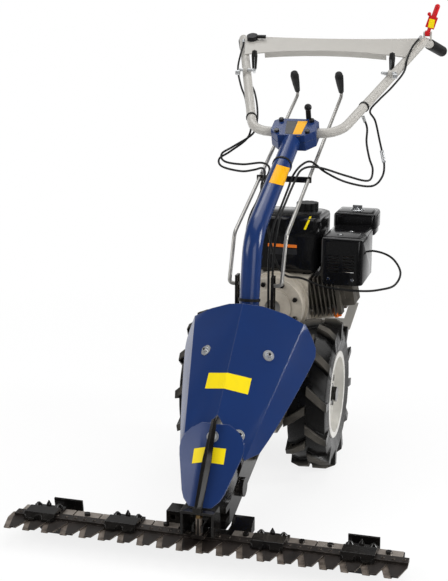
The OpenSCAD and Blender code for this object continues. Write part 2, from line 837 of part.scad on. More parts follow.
// Upright V-section bar that parts the stalks
function vee(w, t) = [[-w / 2, t], [0, 0], [w / 2, t], [w / 2, t + divider_t], [0, divider_t * 1.4],
    [-w / 2, t + divider_t]];
module stalk_divider() color(soot) {
    run = divider_top - divider_low;
    lengths_share = [0, 0.5, 1];
    widths_share = [0.8, 1, divider_tip_share];
    across = unit(cross(run, [1, 0, 0]));
    grid = [for (i = [0:2]) [for (p = vee(divider_w * widths_share[i], divider_w * 0.28))
        mix(divider_low, divider_top, lengths_share[i]) + [p.x, 0, 0] + across * p.y]];
    k = len(grid[0]);
    points = [for (row = grid, p = row) p];
    walls = [for (i = [0:1], j = [0:k - 1]) let (a = i * k + j, b = i * k + (j + 1) % k) each
        [[b + k, b, a], [a + k, b + k, a]]];
    caps = [[for (j = [0:k - 1]) j], [for (j = [k - 1:-1:0]) 2 * k + j]];
    polyhedron(points, concat(walls, caps));
    box([-divider_w * 0.45, arch_y0, arch_top],
        [divider_w * 0.45, arch_y0 + divider_foot, arch_top + divider_foot * 0.72]);
}

// Fork that swings on an upright shaft and moves the knife's pin
module rocker_arm() color(steel) {
    half = pin_d / 2 + play + rocker_prong;
    z1 = rocker_z + rocker_t;
    difference() {
        union() {
            bar_z(rocker_boss_d, rocker_z, z1, 0, rocker_y);
            box([-half, pin_y - rocker_tail, rocker_z], [half, rocker_y, z1]);
        }
        box([-pin_d / 2 - play, pin_y - rocker_tail - overrun, rocker_z - overrun],
            [pin_d / 2 + play, pin_y + pin_d + play, z1 + overrun]);
    }
    bar_z(rocker_shaft_d, case_z0 + case_wall + run_fit, rocker_z, 0, rocker_y);
    bar_z(rocker_shaft_d, z1, z1 + rocker_shaft_d / 2 - run_fit, 0, rocker_y);
}

// Drive case

function case_point(p) = [mix(case_y0, case_y1, p.x), case_z0 + p.y * case_h];
module drive_case() color(black) {
    difference() {
        union() {
            side_prism(case_w, [for (p = case_outline_share) case_point(p)]);
            boss = case_point([case_boss_share, case_boss_share]);
            both() bar_x(case_boss_d, case_w / 2, case_w / 2 + case_boss_t, boss.x, boss.y);
        }
        side_prism(case_w - 2 * case_wall, [for (p = case_inner_share) case_point(p)]);
        z1 = rocker_z + rocker_t;
        bar_z(rocker_shaft_d + 2 * run_fit, case_z0 + case_wall, z1 + rocker_shaft_d / 2, 0, rocker_y);
        box([-case_w, case_y0 - overrun, rocker_z - clear],
            [case_w, rocker_y + rocker_boss_d / 2 + clear, z1 + clear]);
        side_prism(gear_w, gear_points(0));
    }
}

// Shields

function shield_point(s) = [s.x * shield_w, shield_y - s.y * shield_run, shield_z + s.z * shield_h];
function ridge(t) = mix(shield_point(ridge_share[0]), shield_point(ridge_share[1]), t);
function fold(t) = mix(shield_point(fold_share[0]), shield_point(fold_share[1]), t);
function wing(t) = let (i = min(floor(t * shield_rows), shield_rows - 1))
    fold(t) + wing_dir * wing_w * mix(wing_shares[i], wing_shares[i + 1], t * shield_rows - i)
    + [0, 0, -wing_w * wing_drop_share * (1 - t) * (1 - t) * wing_shares[i + 1] * wing_shares[i + 1] * 0.3];
face_normal = unit(cross(ridge(1) - ridge(0), fold(0) - ridge(0)));
wing_normal = unit(cross(fold(1) - fold(0), wing_dir));
// The crown of the upper edge rises between the ridge and the folds
function face(t, u) = mix(ridge(t), fold(t), u)
    + unit(ridge(0) - ridge(1)) * crown * u * (1 - u) * max(0, 1 - t * 6);

function shield_row(t) = let (half = concat([for (u = crown_shares) face(t, u)], [fold(t), wing(t)]))
    both_ways(half, ridge(t));
function both_ways(half, mid) = concat([for (i = [len(half) - 1:-1:0]) flip(half[i])], [mid], half);
function shield_normals() = let (c = unit(face_normal + wing_normal), r = unit([0, face_normal.y,
    face_normal.z]))
    both_ways(concat([for (u = crown_shares) face_normal], [c, wing_normal]), r);
function shield_bolt(i) = mix(ridge(shield_bolt_shares[i][0]), fold(shield_bolt_shares[i][0]),
    shield_bolt_shares[i][1]);

module main_shield() color(navy) {
    outer = [for (i = [0:shield_rows]) shield_row(i / shield_rows)];
    n = shield_normals();
    inner = [for (row = outer) [for (j = [0:len(n) - 1]) row[j] - n[j] * sheet_t]];
    sheet(outer, inner);
}

function low_mid(t) = mix(low_top, low_bot, t);
low_normal = unit(cross(low_bot - low_top, [1, 0, 0]));
module lower_shield() color(navy) {
    m = len(low_shares) - 1;
    outer = [for (i = [0:m]) let (c = low_mid(i / m), w = low_half * low_shares[i],
        b = low_bend * low_shares[i])
        [c + [-w, b, 0], c, c + [w, b, 0]]];
    inner = [for (row = outer) [for (p = row) p - low_normal * sheet_t]];
    sheet(outer, inner);
}

module shield_bolts() color(zinc) {
    both() for (i = [0, 1]) stand(shield_bolt(i) + face_normal * clear / 2, face_normal) button();
    stand(low_mid(low_bolt_share) + low_normal * clear / 2, low_normal) button();
}
module button() {
    cylinder(d = washer_d, h = washer_t);
    translate([0, 0, washer_t]) difference() {
        cylinder(d1 = button_d, d2 = button_d * 0.7, h = button_h);
        translate([0, 0, button_h * 0.4]) cylinder(d = button_d * 0.42, h = button_h);
    }
}

// Pads behind the shield's bolts, on rods from the column's foot and the drive case
module shield_stays() color(black) both() {
    inside = -face_normal;
    upper = shield_bolt(0) + inside * (sheet_t + clear);
    lower = shield_bolt(1) + inside * (sheet_t + clear);
    stand(upper, inside) cylinder(d = stay_pad_d, h = stay_pad_t);
    stand(lower, inside) cylinder(d = stay_pad_d, h = stay_pad_t);
    upper_root = [foot_w * 0.36, foot_y0 + stay_d, foot_z + foot_t];
    link(upper + inside * stay_pad_t / 2, upper_root + [0, 0, stay_d], stay_d);
    bar_z(stay_d * 1.6, upper_root.z, upper_root.z + stay_d * 1.8, upper_root.x, upper_root.y);
    low_root = case_point([0.42, 0.6]);
    low_foot = [case_w * 0.3, low_root.x, low_root.y];
    difference() {
        link(lower + inside * stay_pad_t / 2, low_foot - [0, 0, stay_d], stay_d);
        side_prism(case_w, [for (p = case_outline_share) case_point(p)]);
    }
}

// Gearbox and clutch bell

function gear_points(grow) = [for (p = gear_outline_share)
    [mix(gear_y0 - grow, gear_y1 + grow, p.x), mix(gear_z0 - grow, gear_z1 + grow, p.y)]];
module gearbox_housing() color(cast) {
    tube_end = wheel_x - tyre_w / 2 - wheel_gap;
    difference() {
        union() {
            side_prism(gear_w, gear_points(0));
            bar_x(axle_tube_d, -tube_end, tube_end, 0, axle_z);
            for (i = [1:rib_n]) {
                y = mix(gear_y0, gear_y1, 0.35 + 0.6 * i / (rib_n + 1));
                box([-gear_w / 2 - rib_h, y - rib_t / 2, gear_z0 + rib_t * 2],
                    [gear_w / 2 + rib_h, y + rib_t / 2, gear_z1 - rib_t]);
            }
            both() bar_x(fill_plug_d, gear_w / 2, gear_w / 2 + fill_plug_h, gear_y0 * 0.6,
                axle_z + fill_plug_d);
        }
        side_prism(gear_w - 2 * gear_wall, gear_points(-gear_wall));
        bar_x(shaft_d + 2 * run_fit, -tube_end - overrun, tube_end + overrun, 0, axle_z);
    }
    // Posts for the selector shafts
    both() {
        x = rod_x - rod_hook - selector_t - slot_play;
        difference() {
            box([x - selector_post_w, selector_y - selector_post_w / 2, gear_z1 - gear_wall / 2],
                [x, selector_y + selector_post_w / 2, selector_z + selector_post_w / 2]);
            bar_x(selector_shaft_d + 2 * run_fit, x - selector_post_w - overrun, x + overrun, selector_y,
                selector_z);
        }
    }
}

module bell_housing() color(cast) {
    difference() {
        union() {
            bar_y(bell_d, bell_y0, crank_y - bell_ring_t, 0, crank_z);
            bar_y(bell_ring_d, crank_y - bell_ring_t, crank_y, 0, crank_z);
            bar_y(bell_d * 0.62, bell_y0 - bell_wall / 2, bell_y0, 0, crank_z);
            box([-bell_foot_w / 2, bell_y0 - bell_wall * 2, gear_z1], [bell_foot_w / 2, gear_y1,
                crank_z - bell_d / 4]);
        }
        bar_y(bell_d - 2 * bell_wall, bell_y0 + bell_wall, crank_y + overrun, 0, crank_z);
        bar_y(crank_d * 1.3, bell_y0 - bell_wall - overrun, crank_y, 0, crank_z);
    }
}

module frame_bolts() color(zinc) {
    for (i = [0:bell_bolt_n - 1]) {
        a = 360 * i / bell_bolt_n + 180 / bell_bolt_n;
        z = crank_z + bell_bolt_r * sin(a);
        if (z > crank_z - bell_d / 5) translate([bell_bolt_r * cos(a), bell_y0, z]) rotate([90, 0, 0])
            hex(bolt_d, bolt_h);
    }
    for (x = [-1, 1]) translate([x * foot_w * 0.38, foot_y1 - bolt_d, foot_z + foot_t]) hex(bolt_d, bolt_h);
    lid = clamp_frame_top();
    for (x = [-0.34, 0.34], y = [-0.44, 0.24]) in_clamp() translate([x * clamp_w, y * clamp_l, lid])
        cylinder(d = bolt_d, h = bolt_h);
    for (x = [0.22, 0.78]) translate([guard_x + guard_w * x, guard_y, guard_z + guard_h * 0.12])
        rotate([90, 0, 0]) cylinder(d = screw_d, h = screw_h);
    translate([filter_x + filter_w / 2, filter_y + filter_l / 2, filter_z + filter_h]) {
        cylinder(d = wing_nut_d, h = wing_nut_h / 2);
        cylinder(d = screw_d, h = wing_nut_h);
        box([-wing_nut_d * 0.4, -wing_nut_h / 4, wing_nut_h / 2], [wing_nut_d * 0.4, wing_nut_h / 4,
            wing_nut_h * 1.6]);
    }
}

// Wheels: each is built about its own axle line, with the outside of the wheel on +X

module at_wheel(s) {
    if (s > 0) translate([wheel_x, 0, axle_z]) children();
    else mirror([1, 0, 0]) translate([wheel_x, 0, axle_z]) children();
}
module turned(points) rotate([0, 90, 0]) rotate_extrude($fn = 72) polygon(points);

// One side of a tyre's outside, from bead to crown, with its lug standing or not: radius, width, sweep
function tyre_side(up) = let (
    half = tyre_w / 2,
    bead = rim_half - rim_flange_t - slide_gap,
    seat = (rim_seat_r + slide_gap) * chord_share,
    lip = rim_od / 2 + slide_gap,
    crown = tyre_od / 2,
    r = [for (s = wall_r_share) mix(lip, carcass_r, s)])
    concat([[seat, bead, 1], [lip, bead, 1], [r[0], half, 1]],
        up ? [[crown - lug_h * 0.5, half, 1], [crown, half * 0.6, 0.55], [crown, half * 0.03, 0]]
        : [[r[1], half * 0.88, 1], [carcass_r, half * 0.5, 0.55], [carcass_r, half * 0.03, 0]]);
function tyre_lining() = let (half = tyre_w / 2, bead = rim_half - rim_flange_t - slide_gap - tyre_wall,
    lip = rim_od / 2 + slide_gap)
    [[carcass_r - tyre_wall, half * 0.4, 1], [mix(lip, carcass_r, wall_r_share[0]), half - tyre_wall, 1],
    [(rim_seat_r + slide_gap) * chord_share, bead, 1]];
function back_to_front(p) = [for (i = [len(p) - 1:-1:0]) [p[i][0], -p[i][1], p[i][2]]];
function tyre_section(side) = concat(tyre_side(side > 0), back_to_front(tyre_side(side < 0)),
    back_to_front(tyre_lining()), tyre_lining());
module tyre() {
    k = len(tyre_section(0));
    steps = len(lug_steps_share);
    m = lug_n * steps;
    points = [for (i = [0:m - 1]) let (at = floor(i / steps) + lug_steps_share[i % steps])
        for (p = tyre_section(lug_sides[i % steps])) let (g = 360 * (at + p[2] * lug_sweep_share) / lug_n)
        [p[1], p[0] * sin(g), p[0] * cos(g)]];
    faces = [for (i = [0:m - 1], j = [0:k - 1]) let (a = i * k, b = (i + 1) % m * k, n = (j + 1) % k) each
        [[a + j, a + n, b + n], [a + j, b + n, b + j]]];
    polyhedron(points, faces);
}

module rim() {
    disc = rim_half - rim_dish;
    difference() {
        turned([[rim_od / 2, rim_half], [rim_od / 2, rim_half - rim_flange_t], [rim_seat_r,
            rim_half - rim_flange_t],
            [rim_seat_r, rim_half * 0.5], [rim_well_r, rim_half * 0.36], [rim_well_r, -rim_half * 0.36],
            [rim_seat_r, -rim_half * 0.5], [rim_seat_r, rim_flange_t - rim_half], [rim_od / 2,
                rim_flange_t - rim_half],
            [rim_od / 2, -rim_half], [rim_seat_r - rim_t, -rim_half], [rim_seat_r - rim_t, -rim_half * 0.52],
            [rim_well_r - rim_t, -rim_half * 0.38], [rim_well_r - rim_t, disc - rim_t * 2],
                [hub_flange_d * 0.53, disc - rim_t],
            [hub_d / 2, disc - rim_t], [hub_d / 2, disc], [hub_flange_d * 0.53, disc], [rim_well_r - rim_t,
                disc - rim_t],
            [rim_seat_r - rim_t, rim_half * 0.52], [rim_seat_r - rim_t, rim_half]]);
        for (i = [0:wheel_bolt_n - 1]) rotate([360 * i / wheel_bolt_n + 45, 0, 0]) {
            bar_x(wheel_bolt_d + clear, -rim_half, rim_half, 0, wheel_bolt_r);
        }
    }
    rotate([118, 0, 0]) bar_x(valve_d, rim_half * 0.4, rim_half * 0.95, 0,
        rim_seat_r - rim_t - valve_d * 0.4);
}

// Half shaft from inside the gearbox, hub and flange behind the disc, nose and bolts through it
module hub() {
    disc = rim_half - rim_dish;
    inner = disc - rim_t;
    bar_x(shaft_d, shaft_d / 4 - wheel_x, inner, 0, 0);
    bar_x(hub_d, -tyre_w * 0.42, inner - hub_flange_t, 0, 0);
    bar_x(hub_flange_d, inner - hub_flange_t, inner, 0, 0);
    bar_x(hub_d - 2 * run_fit, inner, inner + hub_nose / 2, 0, 0);
    translate([inner + hub_nose / 2, 0, 0]) rotate([0, 90, 0]) hex(hub_d * 0.72, hub_nose / 2);
    for (i = [0:wheel_bolt_n - 1]) rotate([360 * i / wheel_bolt_n + 45, 0, 0]) {
        bar_x(wheel_bolt_d, inner - hub_flange_t / 2, disc, 0, wheel_bolt_r);
        translate([disc, 0, wheel_bolt_r]) rotate([0, 90, 0]) hex(wheel_bolt_d * 1.6, bolt_h);
    }
}
module left_tyre() color(rubber) at_wheel(-1) tyre();
module right_tyre() color(rubber) at_wheel(1) tyre();
module left_rim() color(zinc) at_wheel(-1) rim();
module right_rim() color(zinc) at_wheel(1) rim();
module left_hub() color(black) at_wheel(-1) hub();
module right_hub() color(black) at_wheel(1) hub();

// Engine

module crankcase() color(cast) {
    y1 = crank_y + engine_l;
    difference() {
        union() {
            box([-case_half_w, crank_y, base_z + base_t], [case_half_w, y1, crank_z + case_top]);
            box([-base_w / 2, crank_y + base_t, base_z], [base_w / 2, y1, base_z + base_t]);
            link([case_half_w * 0.95, oil_y, oil_z - plug_d / 2], [oil_x, oil_y, oil_z], oil_neck_d);
        }
        box([base_t - case_half_w, crank_y + base_t, base_z + 2 * base_t], [case_half_w - base_t,
            y1 - base_t, crank_z + case_top - base_t]);
        bar_y(crank_d + 2 * run_fit, crank_y - overrun, y1 + overrun, 0, crank_z);
    }
}

module crankshaft() color(steel) {
    y1 = crank_y + engine_l;
    bar_y(crank_d, bell_y0 + bell_wall * 2, y1 + blower_l * 0.7, 0, crank_z);
    for (y = [0.3, 0.7]) {
        c = mix(crank_y, y1, y);
        bar_y(web_d, c - web_t / 2, c + web_t / 2, 0, crank_z);
    }
    bar_y(flywheel_d, y1 + blower_l * 0.2, y1 + blower_l * 0.2 + flywheel_t, 0, crank_z);
    bar_y(drum_d, bell_y0 + bell_wall * 2, crank_y - bell_wall / 2, 0, crank_z);
}

// Finned barrel, head and valve cover, leaning up to the right
module cylinder_block() color(cast) {
    y = crank_y + engine_l / 2;
    difference() {
        translate([0, y, crank_z]) rotate([0, -slant, 0]) {
            bar_x(barrel_d, barrel_u, barrel_u + barrel_l + head_l, 0, 0);
            for (i = [0:fin_n - 1]) {
                u = barrel_u + fin_t * 5 + i * (barrel_l - fin_t * 4) / fin_n;
                box([u, -fin_w / 2, -fin_h / 2], [u + fin_t, fin_w / 2, fin_h / 2]);
            }
            u1 = barrel_u + barrel_l;
            box([u1, -fin_w / 2, -fin_h / 2], [u1 + head_l * 0.5, fin_w / 2, fin_h / 2]);
            box([u1, -cover_w / 2, -cover_h / 2], [u1 + head_l + cover_l, cover_w / 2, cover_h / 2]);
        }
        box([-case_half_w, crank_y - overrun, base_z], [case_half_w, crank_y + engine_l + overrun,
            crank_z + case_top + overrun]);
        oil_room();
    }
}
module oil_room() link([case_half_w * 0.8, oil_y, oil_z - plug_d / 2], [oil_x + plug_d * 1.5, oil_y,
    oil_z + plug_d / 2], plug_d * 1.2);

// Shroud behind the crankcase, open to the flywheel
module blower_housing() color(black) {
    y0 = crank_y + engine_l;
    z0 = base_z + base_t;
    difference() {
        translate([0, y0 + blower_l, z0 + blower_h / 2]) rotate([90, 0, 0]) linear_extrude(blower_l)
            polygon(round_rect(blower_w, blower_h, blower_w * 0.3));
        translate([0, y0 + blower_l + overrun, z0 + blower_h / 2]) rotate([90, 0, 0])
            linear_extrude(blower_l - blower_wall + overrun)
            polygon(round_rect(blower_w - 2 * blower_wall, blower_h - 2 * blower_wall,
                blower_w * 0.3 - blower_wall));
        bar_y(crank_d * 1.5, y0 - overrun, y0 + blower_l, 0, crank_z);
    }
}

// Dished starter cover with cooling slots
module starter_cover() color(black) {
    y0 = crank_y + engine_l + blower_l;
    r = cover_d / 2;
    difference() {
        translate([0, y0, crank_z]) rotate([-90, 0, 0]) rotate_extrude() polygon([[r, 0], [r,
            cover_depth * 0.5],
            [r * 0.86, cover_depth * 0.86], [r * 0.6, cover_depth], [0, cover_depth], [0,
                cover_depth - blower_wall],
            [r * 0.58, cover_depth - blower_wall], [r * 0.83, cover_depth * 0.8], [r - blower_wall,
                cover_depth * 0.48], [r - blower_wall, 0]]);
        for (i = [0:slot_n - 1]) {
            a = 360 * i / slot_n;
            translate([0, y0 + cover_depth * 0.7, crank_z]) rotate([0, a, 0])
                box([-slot_w / 2, -overrun, r * 0.3], [slot_w / 2, cover_depth, r * 0.3 + slot_l]);
        }
        bar_y(pull_d, y0, y0 + cover_depth * 2, pull_x, crank_z + pull_rise * 0.2);
    }
}

// Pull handle that hangs in front of the starter cover's mouth, on its rope
module starter_grip() color(black) {
    y = crank_y + engine_l + blower_l + cover_depth + clear;
    z = crank_z + pull_rise * 0.2;
    bar_y(pull_d * 0.5, y - cover_depth * 0.3, y + pull_d / 2, pull_x, z);
    translate([pull_x, y + pull_d * 0.5, z]) rotate([0, 60, 0]) bar_x(pull_d, -pull_w / 2, pull_w / 2, 0, 0);
}

function tank_outline(grow) = [for (p = tank_shares) [tank_y - grow + p.x * (tank_l + 2 * grow),
    tank_z - grow + p.y * (tank_h + 2 * grow)]];
module tank_body(grow) intersection() {
    translate([tank_x, 0, 0]) side_prism(tank_w + 2 * grow, tank_outline(grow));
    translate([tank_x, tank_y + tank_l / 2, tank_z - tank_h]) linear_extrude(3 * tank_h)
        polygon(round_rect(tank_w + 2 * grow, tank_l + 2 * grow, tank_r));
    translate([tank_x, tank_y + tank_l / 2, tank_z + tank_h / 2]) rotate([90, 0, 0])
        linear_extrude(2 * tank_l, center = true)
        polygon(round_rect(tank_w + 2 * grow, tank_h + 2 * grow, tank_r));
}
module fuel_tank() color(black) {
    difference() {
        union() {
            tank_body(0);
            bar_z(neck_d, tank_z + tank_h / 2, tank_z + tank_h + neck_h, cap_x, cap_y);
            for (s = [-0.3, 0.3]) box([tank_x + s * tank_w - base_t, tank_y + base_t * 2, crank_z + case_top],
                [tank_x + s * tank_w + base_t, tank_y + tank_l * 0.5, tank_z + base_t]);
        }
        tank_body(-tank_wall);
        bar_z(neck_d - 2 * tank_wall, tank_z + tank_h / 2, tank_z + tank_h + neck_h + overrun, cap_x, cap_y);
    }
}

module fuel_cap() color(black) {
    z = tank_z + tank_h + neck_h - cap_h / 3 + run_fit;
    difference() {
        bar_z(cap_d, z, z + cap_h, cap_x, cap_y);
        bar_z(neck_d + 2 * clear, z - overrun, z + cap_h / 3 + clear, cap_x, cap_y);
        for (i = [0:11]) translate([cap_x, cap_y, 0]) rotate([0, 0, 30 * i]) bar_z(cap_d * 0.1,
            z - overrun, z + cap_h + overrun, cap_d / 2, 0);
    }
}

module air_filter() color(black) {
    m = [filter_x + filter_w / 2, filter_y + filter_l / 2, 0];
    split = filter_z + filter_h * 0.3;
    translate(m + [0, 0, filter_z]) linear_extrude(filter_h * 0.26) polygon(round_rect(filter_w * 0.94,
        filter_l * 0.94, filter_r));
    difference() {
        translate(m + [0, 0, filter_z + filter_h * 0.26])
            soft_box(filter_w, filter_l, filter_h * 0.74, filter_r);
        translate(m + [0, 0, split]) soft_box(filter_w - 2 * filter_wall, filter_l - 2 * filter_wall,
            filter_h * 0.7 - filter_wall, filter_r - filter_wall);
    }
    bar_z(elbow_d, carb_z + carb_h, filter_z, carb_x + carb_w / 2, carb_y + carb_l / 2);
}

module muffler() color(steel) {
    lo = [guard_x, guard_y, guard_z] + [muffler_gap, muffler_gap, muffler_lift];
    hi = [guard_x + guard_w, guard_y + guard_l, guard_z + guard_h] - muffler_gap * [1, 0.7, 1];
    difference() {
        box(lo, hi);
        box(lo + guard_t * [1, 1, 1], hi - guard_t * [1, 1, 1]);
    }
    y = (lo.y + hi.y) / 2;
    difference() {
        bar_z(pipe_d, crank_z, lo.z, guard_x + guard_w * 0.45, y);
        barrel_room(clear / 4);
    }
}
module barrel_room(grow) translate([0, crank_y + engine_l / 2, crank_z]) rotate([0, -slant, 0])
    box([0, -fin_w / 2 - grow, -fin_h], [barrel_u + barrel_l + head_l + cover_l, fin_w / 2 + grow,
        fin_h / 2 + grow]);

// Pressed cover round the muffler, open below, with fine louvres in front and cuts along its upper edges
module muffler_guard() color(black) {
    m = [guard_x + guard_w / 2, guard_y + guard_l / 2, guard_z];
    top = guard_z + guard_h;
    difference() {
        translate(m) soft_box(guard_w, guard_l, guard_h, guard_r);
        translate(m + [0, 0, -overrun])
            soft_box(guard_w - 2 * guard_t, guard_l - 2 * guard_t, guard_h - guard_t + overrun,
                guard_r - guard_t);
        barrel_room(clear * 4);
        for (i = [0:louvres - 1], u = louvre_shares) {
            z = guard_z + guard_h * 0.27 + i * louvre_pitch;
            x = guard_x + guard_w * u;
            box([x - louvre_w / 2, guard_y - overrun, z],
                [x + louvre_w / 2, guard_y + guard_t * 2, z + louvre_h]);
        }
        for (i = [0:edge_cuts - 1]) {
            y = guard_y + guard_r + i * edge_pitch;
            box([guard_x + guard_w - guard_r, y, top - guard_r],
                [guard_x + guard_w + overrun, y + edge_pitch / 2, top + overrun]);
        }
        for (i = [0:side_cuts - 1]) {
            y = guard_y + guard_r + i * side_pitch;
            box([guard_x - overrun, y, top - guard_r], [guard_x + guard_t * 2, y + side_pitch * 0.6,
                top - guard_r / 2]);
        }
    }
}

module carburettor() color(steel) {
    box([carb_x, carb_y, carb_z], [carb_x + carb_w, carb_y + carb_l, carb_z + carb_h]);
    bar_z(carb_w * 0.8, carb_z - carb_h * 0.4, carb_z, carb_x + carb_w / 2, carb_y + carb_l / 2);
    bar_y(intake_d, crank_y + engine_l / 2 + fin_w / 2, carb_y + carb_l / 2, carb_x + carb_w / 2,
        carb_z - intake_d * 0.6);
}

module oil_plug() color(orange) {
    way = unit([oil_x - case_half_w * 0.95, 0, plug_d / 2]);
    stand([oil_x, oil_y, oil_z] + way * run_fit, way) {
        cylinder(d = plug_d, h = plug_h * 0.5, $fn = 10);
        translate([0, 0, plug_h * 0.5]) box([-plug_d * 0.4, -plug_d * 0.12, 0], [plug_d * 0.4,
            plug_d * 0.12, plug_h * 0.6]);
    }
}

// Rails under the engine with an upright at each rear corner
module rear_frame() color(pale) {
    z1 = base_z;
    both() box([rail_x - rail_t / 2, gear_y1, z1 - rail_h], [rail_x + rail_t / 2, rear_y, z1]);
    box([-rear_half, rear_y, z1 - rail_h], [rear_half, rear_y + rail_t, z1]);
    both() translate([rear_half, rear_y + rail_t, z1 - rail_h]) rotate([0, upright_lean, 0])
        box([-upright_w, -rail_t, -rail_h * 0.3], [0, 0, upright_h]);
}

// Column

module rod_eye(grow) both() link(rod_knee, rod_up, rod_d + grow);
module column() color(navy) {
    sweep(bend_stations([column_foot, column_knee, column_top], [column_bend], bend_steps + 2), column_d,
        column_sides, [1, 0, 0], column_t);
    box([-foot_w / 2, foot_y0, foot_z], [foot_w / 2, foot_y1, foot_z + foot_t]);
    difference() {
        stand(column_foot - column_lean * foot_t / 2, column_lean) cylinder(d = socket_d, h = socket_h);
        stand(column_foot - column_lean * foot_t, column_lean) cylinder(d = column_d - column_t,
            h = socket_h * 2);
    }
    // Cross plate that guides the two control rods under the column
    at = mix(column_knee, column_top, guide_s);
    rod_at = mix(rod_knee, rod_up, (at.y - rod_knee.y) / (rod_up.y - rod_knee.y));
    difference() {
        box([-rod_x - guide_w / 2, at.y - guide_t / 2, rod_at.z - guide_w / 2],
            [rod_x + guide_w / 2, at.y + guide_t / 2, rod_at.z + guide_w / 2]);
        rod_eye(2 * clear);
    }
    box([-guide_w / 2, at.y - guide_t / 2, rod_at.z], [guide_w / 2, at.y + guide_t / 2,
        at.z - column_d / 2 + column_t]);
}

// Handlebar clamp, built level and then tipped to the slope of the arms

arm_way = unit(upper_bend - bar_hub - [hub_half, 0, 0]);
tip = atan2(column_way.z, column_way.y);
module in_clamp() translate(bar_hub) rotate([tip, 0, 0]) children();
function clamp_frame_top() = tube_d / 2 + clamp_lid_t;
function clamp_points() = fit(clamp_outline_share, [clamp_w, clamp_l], [0, 0]);

module clamp_box() color(navy) difference() {
    in_clamp() translate([0, 0, -clamp_h]) linear_extrude(clamp_h) polygon(clamp_points());
    bar_x(tube_d + 2 * run_fit, -clamp_w, clamp_w, bar_hub.y, bar_hub.z);
}
module clamp_lid() color(navy) difference() {
    in_clamp() linear_extrude(clamp_frame_top()) polygon(clamp_points());
    bar_x(tube_d + 2 * run_fit, -clamp_w, clamp_w, bar_hub.y, bar_hub.z);
}
// Small lever on the clamp's rear face
module clamp_lever() color(black) in_clamp() {
    y = clamp_l * 0.4 + run_fit;
    z = -clamp_h * 0.35;
    x = clamp_w * 0.22;
    bar_y(bolt_d, y, y + bolt_d, x, z);
    box([x - bolt_d / 2, y + bolt_d, z - bolt_d / 2], [x + bolt_d / 2, y + bolt_d + guide_t,
        z + clamp_lever_l]);
    translate([x, y + bolt_d + guide_t / 2, z + clamp_lever_l]) sphere(d = bolt_d * 1.5);
}

// Handlebar

function arm(t) = mix(bar_hub + [hub_half, 0, 0], upper_bend, t);
grip_end = upper_bend + grip_run;
module handlebar() color(pale) {
    path = [flip(grip_end), flip(upper_bend), bar_hub - [hub_half, 0, 0], bar_hub + [hub_half, 0, 0],
        upper_bend, grip_end];
    sweep(bend_stations(path, [top_bend, hub_bend, hub_bend, top_bend], bend_steps), tube_d, bar_sides,
        handle_skew, tube_t);
    // Bushes for the hand levers
    both() {
        q = lever_pivot();
        difference() {
            union() {
                bar_x(lever_bush_d, q.x, q.x + lever_bush_l, q.y, q.z);
                box([q.x, q.y - lever_bush_d * 0.3, q.z - lever_bush_d],
                    [q.x + lever_bush_l, q.y + lever_bush_d * 0.3, q.z]);
            }
            bar_x(lever_rod_d + 2 * run_fit, q.x - overrun, q.x + lever_bush_l + overrun, q.y, q.z);
        }
    }
    // Lugs and pin for the safety lever
    p = safety_pivot();
    half = lever_eye_w / 2 + clear;
    lug_d = lever_eye_d * 0.64;
    for (x = [-half - bracket_t, half]) {
        box([p.x + x, p.y - lug_d / 2, upper_bend.z], [p.x + x + bracket_t, p.y + lug_d / 2, p.z]);
        bar_x(lug_d, p.x + x, p.x + x + bracket_t, p.y, p.z);
    }
    bar_x(lever_pin_d, p.x - half - bracket_t, p.x + half + bracket_t, p.y, p.z);
}
module hand_grips() color(rubber) both() {
    way = unit(grip_run);
    difference() {
        stand(grip_end - way * grip_l, way) linear_extrude(grip_l + tube_t) circle(d = grip_d);
        link(grip_end - way * (grip_l + overrun), grip_end, tube_d + 2 * run_fit);
    }
}

// Sheet between the arms whose front edge arches back in the middle, with a folded lip along it
module cross_panel() color(pale) {
    a = arm(panel_from);
    b = arm(panel_to);
    up = unit(cross([1, 0, 0], b - a));
    lift = up * (tube_d / 2 + run_fit);
    row_of = function (u) let (x = mix(-1, 1, u), bow = 1 - x * x)
        let (p = a + (b - a) * bow * panel_sag / norm(b - a), q = b - (b - a) * bow * 0.1)
        [for (v = [0, 0.5, 1]) let (e = mix(p, q, v)) [e.x * x, e.y, e.z] + lift];
    outer = [for (i = [0:panel_n]) row_of(i / panel_n)];
    sheet([for (r = outer) [for (p = r) p + up * panel_t]], outer);
    lip = [for (i = [1:panel_n - 1]) let (r = row_of(i / panel_n))
        [r[0] + up * panel_t / 2, r[0] - up * panel_lip]];
    back = unit(b - a) * panel_t;
    sheet([for (r = lip) [for (p = r) [p.x, p.y, p.z] + [0, back.y, back.z]]], lip);
    // Post for the throttle lever
    stand(throttle_place() - up * panel_t / 2, up) cylinder(d = lever_pin_d,
        h = panel_t / 2 + throttle_t * 0.7);
}

// Control rods

module rod() {
    sweep(bend_stations([rod_low - [rod_hook + selector_t + clear, 0, 0], rod_low, rod_knee, rod_up,
        rod_up + knob_way() * knob_l * 0.5],
        [rod_d, rod_bend, rod_d], bend_steps), rod_d, rod_sides, rod_skew);
}
function knob_way() = [0, -sin(knob_lean), cos(knob_lean)];
module rod_knob() {
    base = rod_up + knob_way() * rod_d * 1.6;
    hole = rod_d / 2 + run_fit;
    deep = knob_l * 0.5;
    stand(base, knob_way()) rotate_extrude() polygon([[hole, 0], [knob_d * knob_neck_share / 2, 0],
        [knob_d * 0.42, knob_l * 0.4],
        [knob_d / 2, knob_l * 0.8], [knob_d * 0.4, knob_l * 0.95], [0, knob_l], [0, deep], [hole, deep]]);
}
module left_rod() color(zinc) mirror([1, 0, 0]) rod();
module right_rod() color(zinc) rod();
module left_rod_knob() color(black) mirror([1, 0, 0]) rod_knob();
module right_rod_knob() color(black) rod_knob();

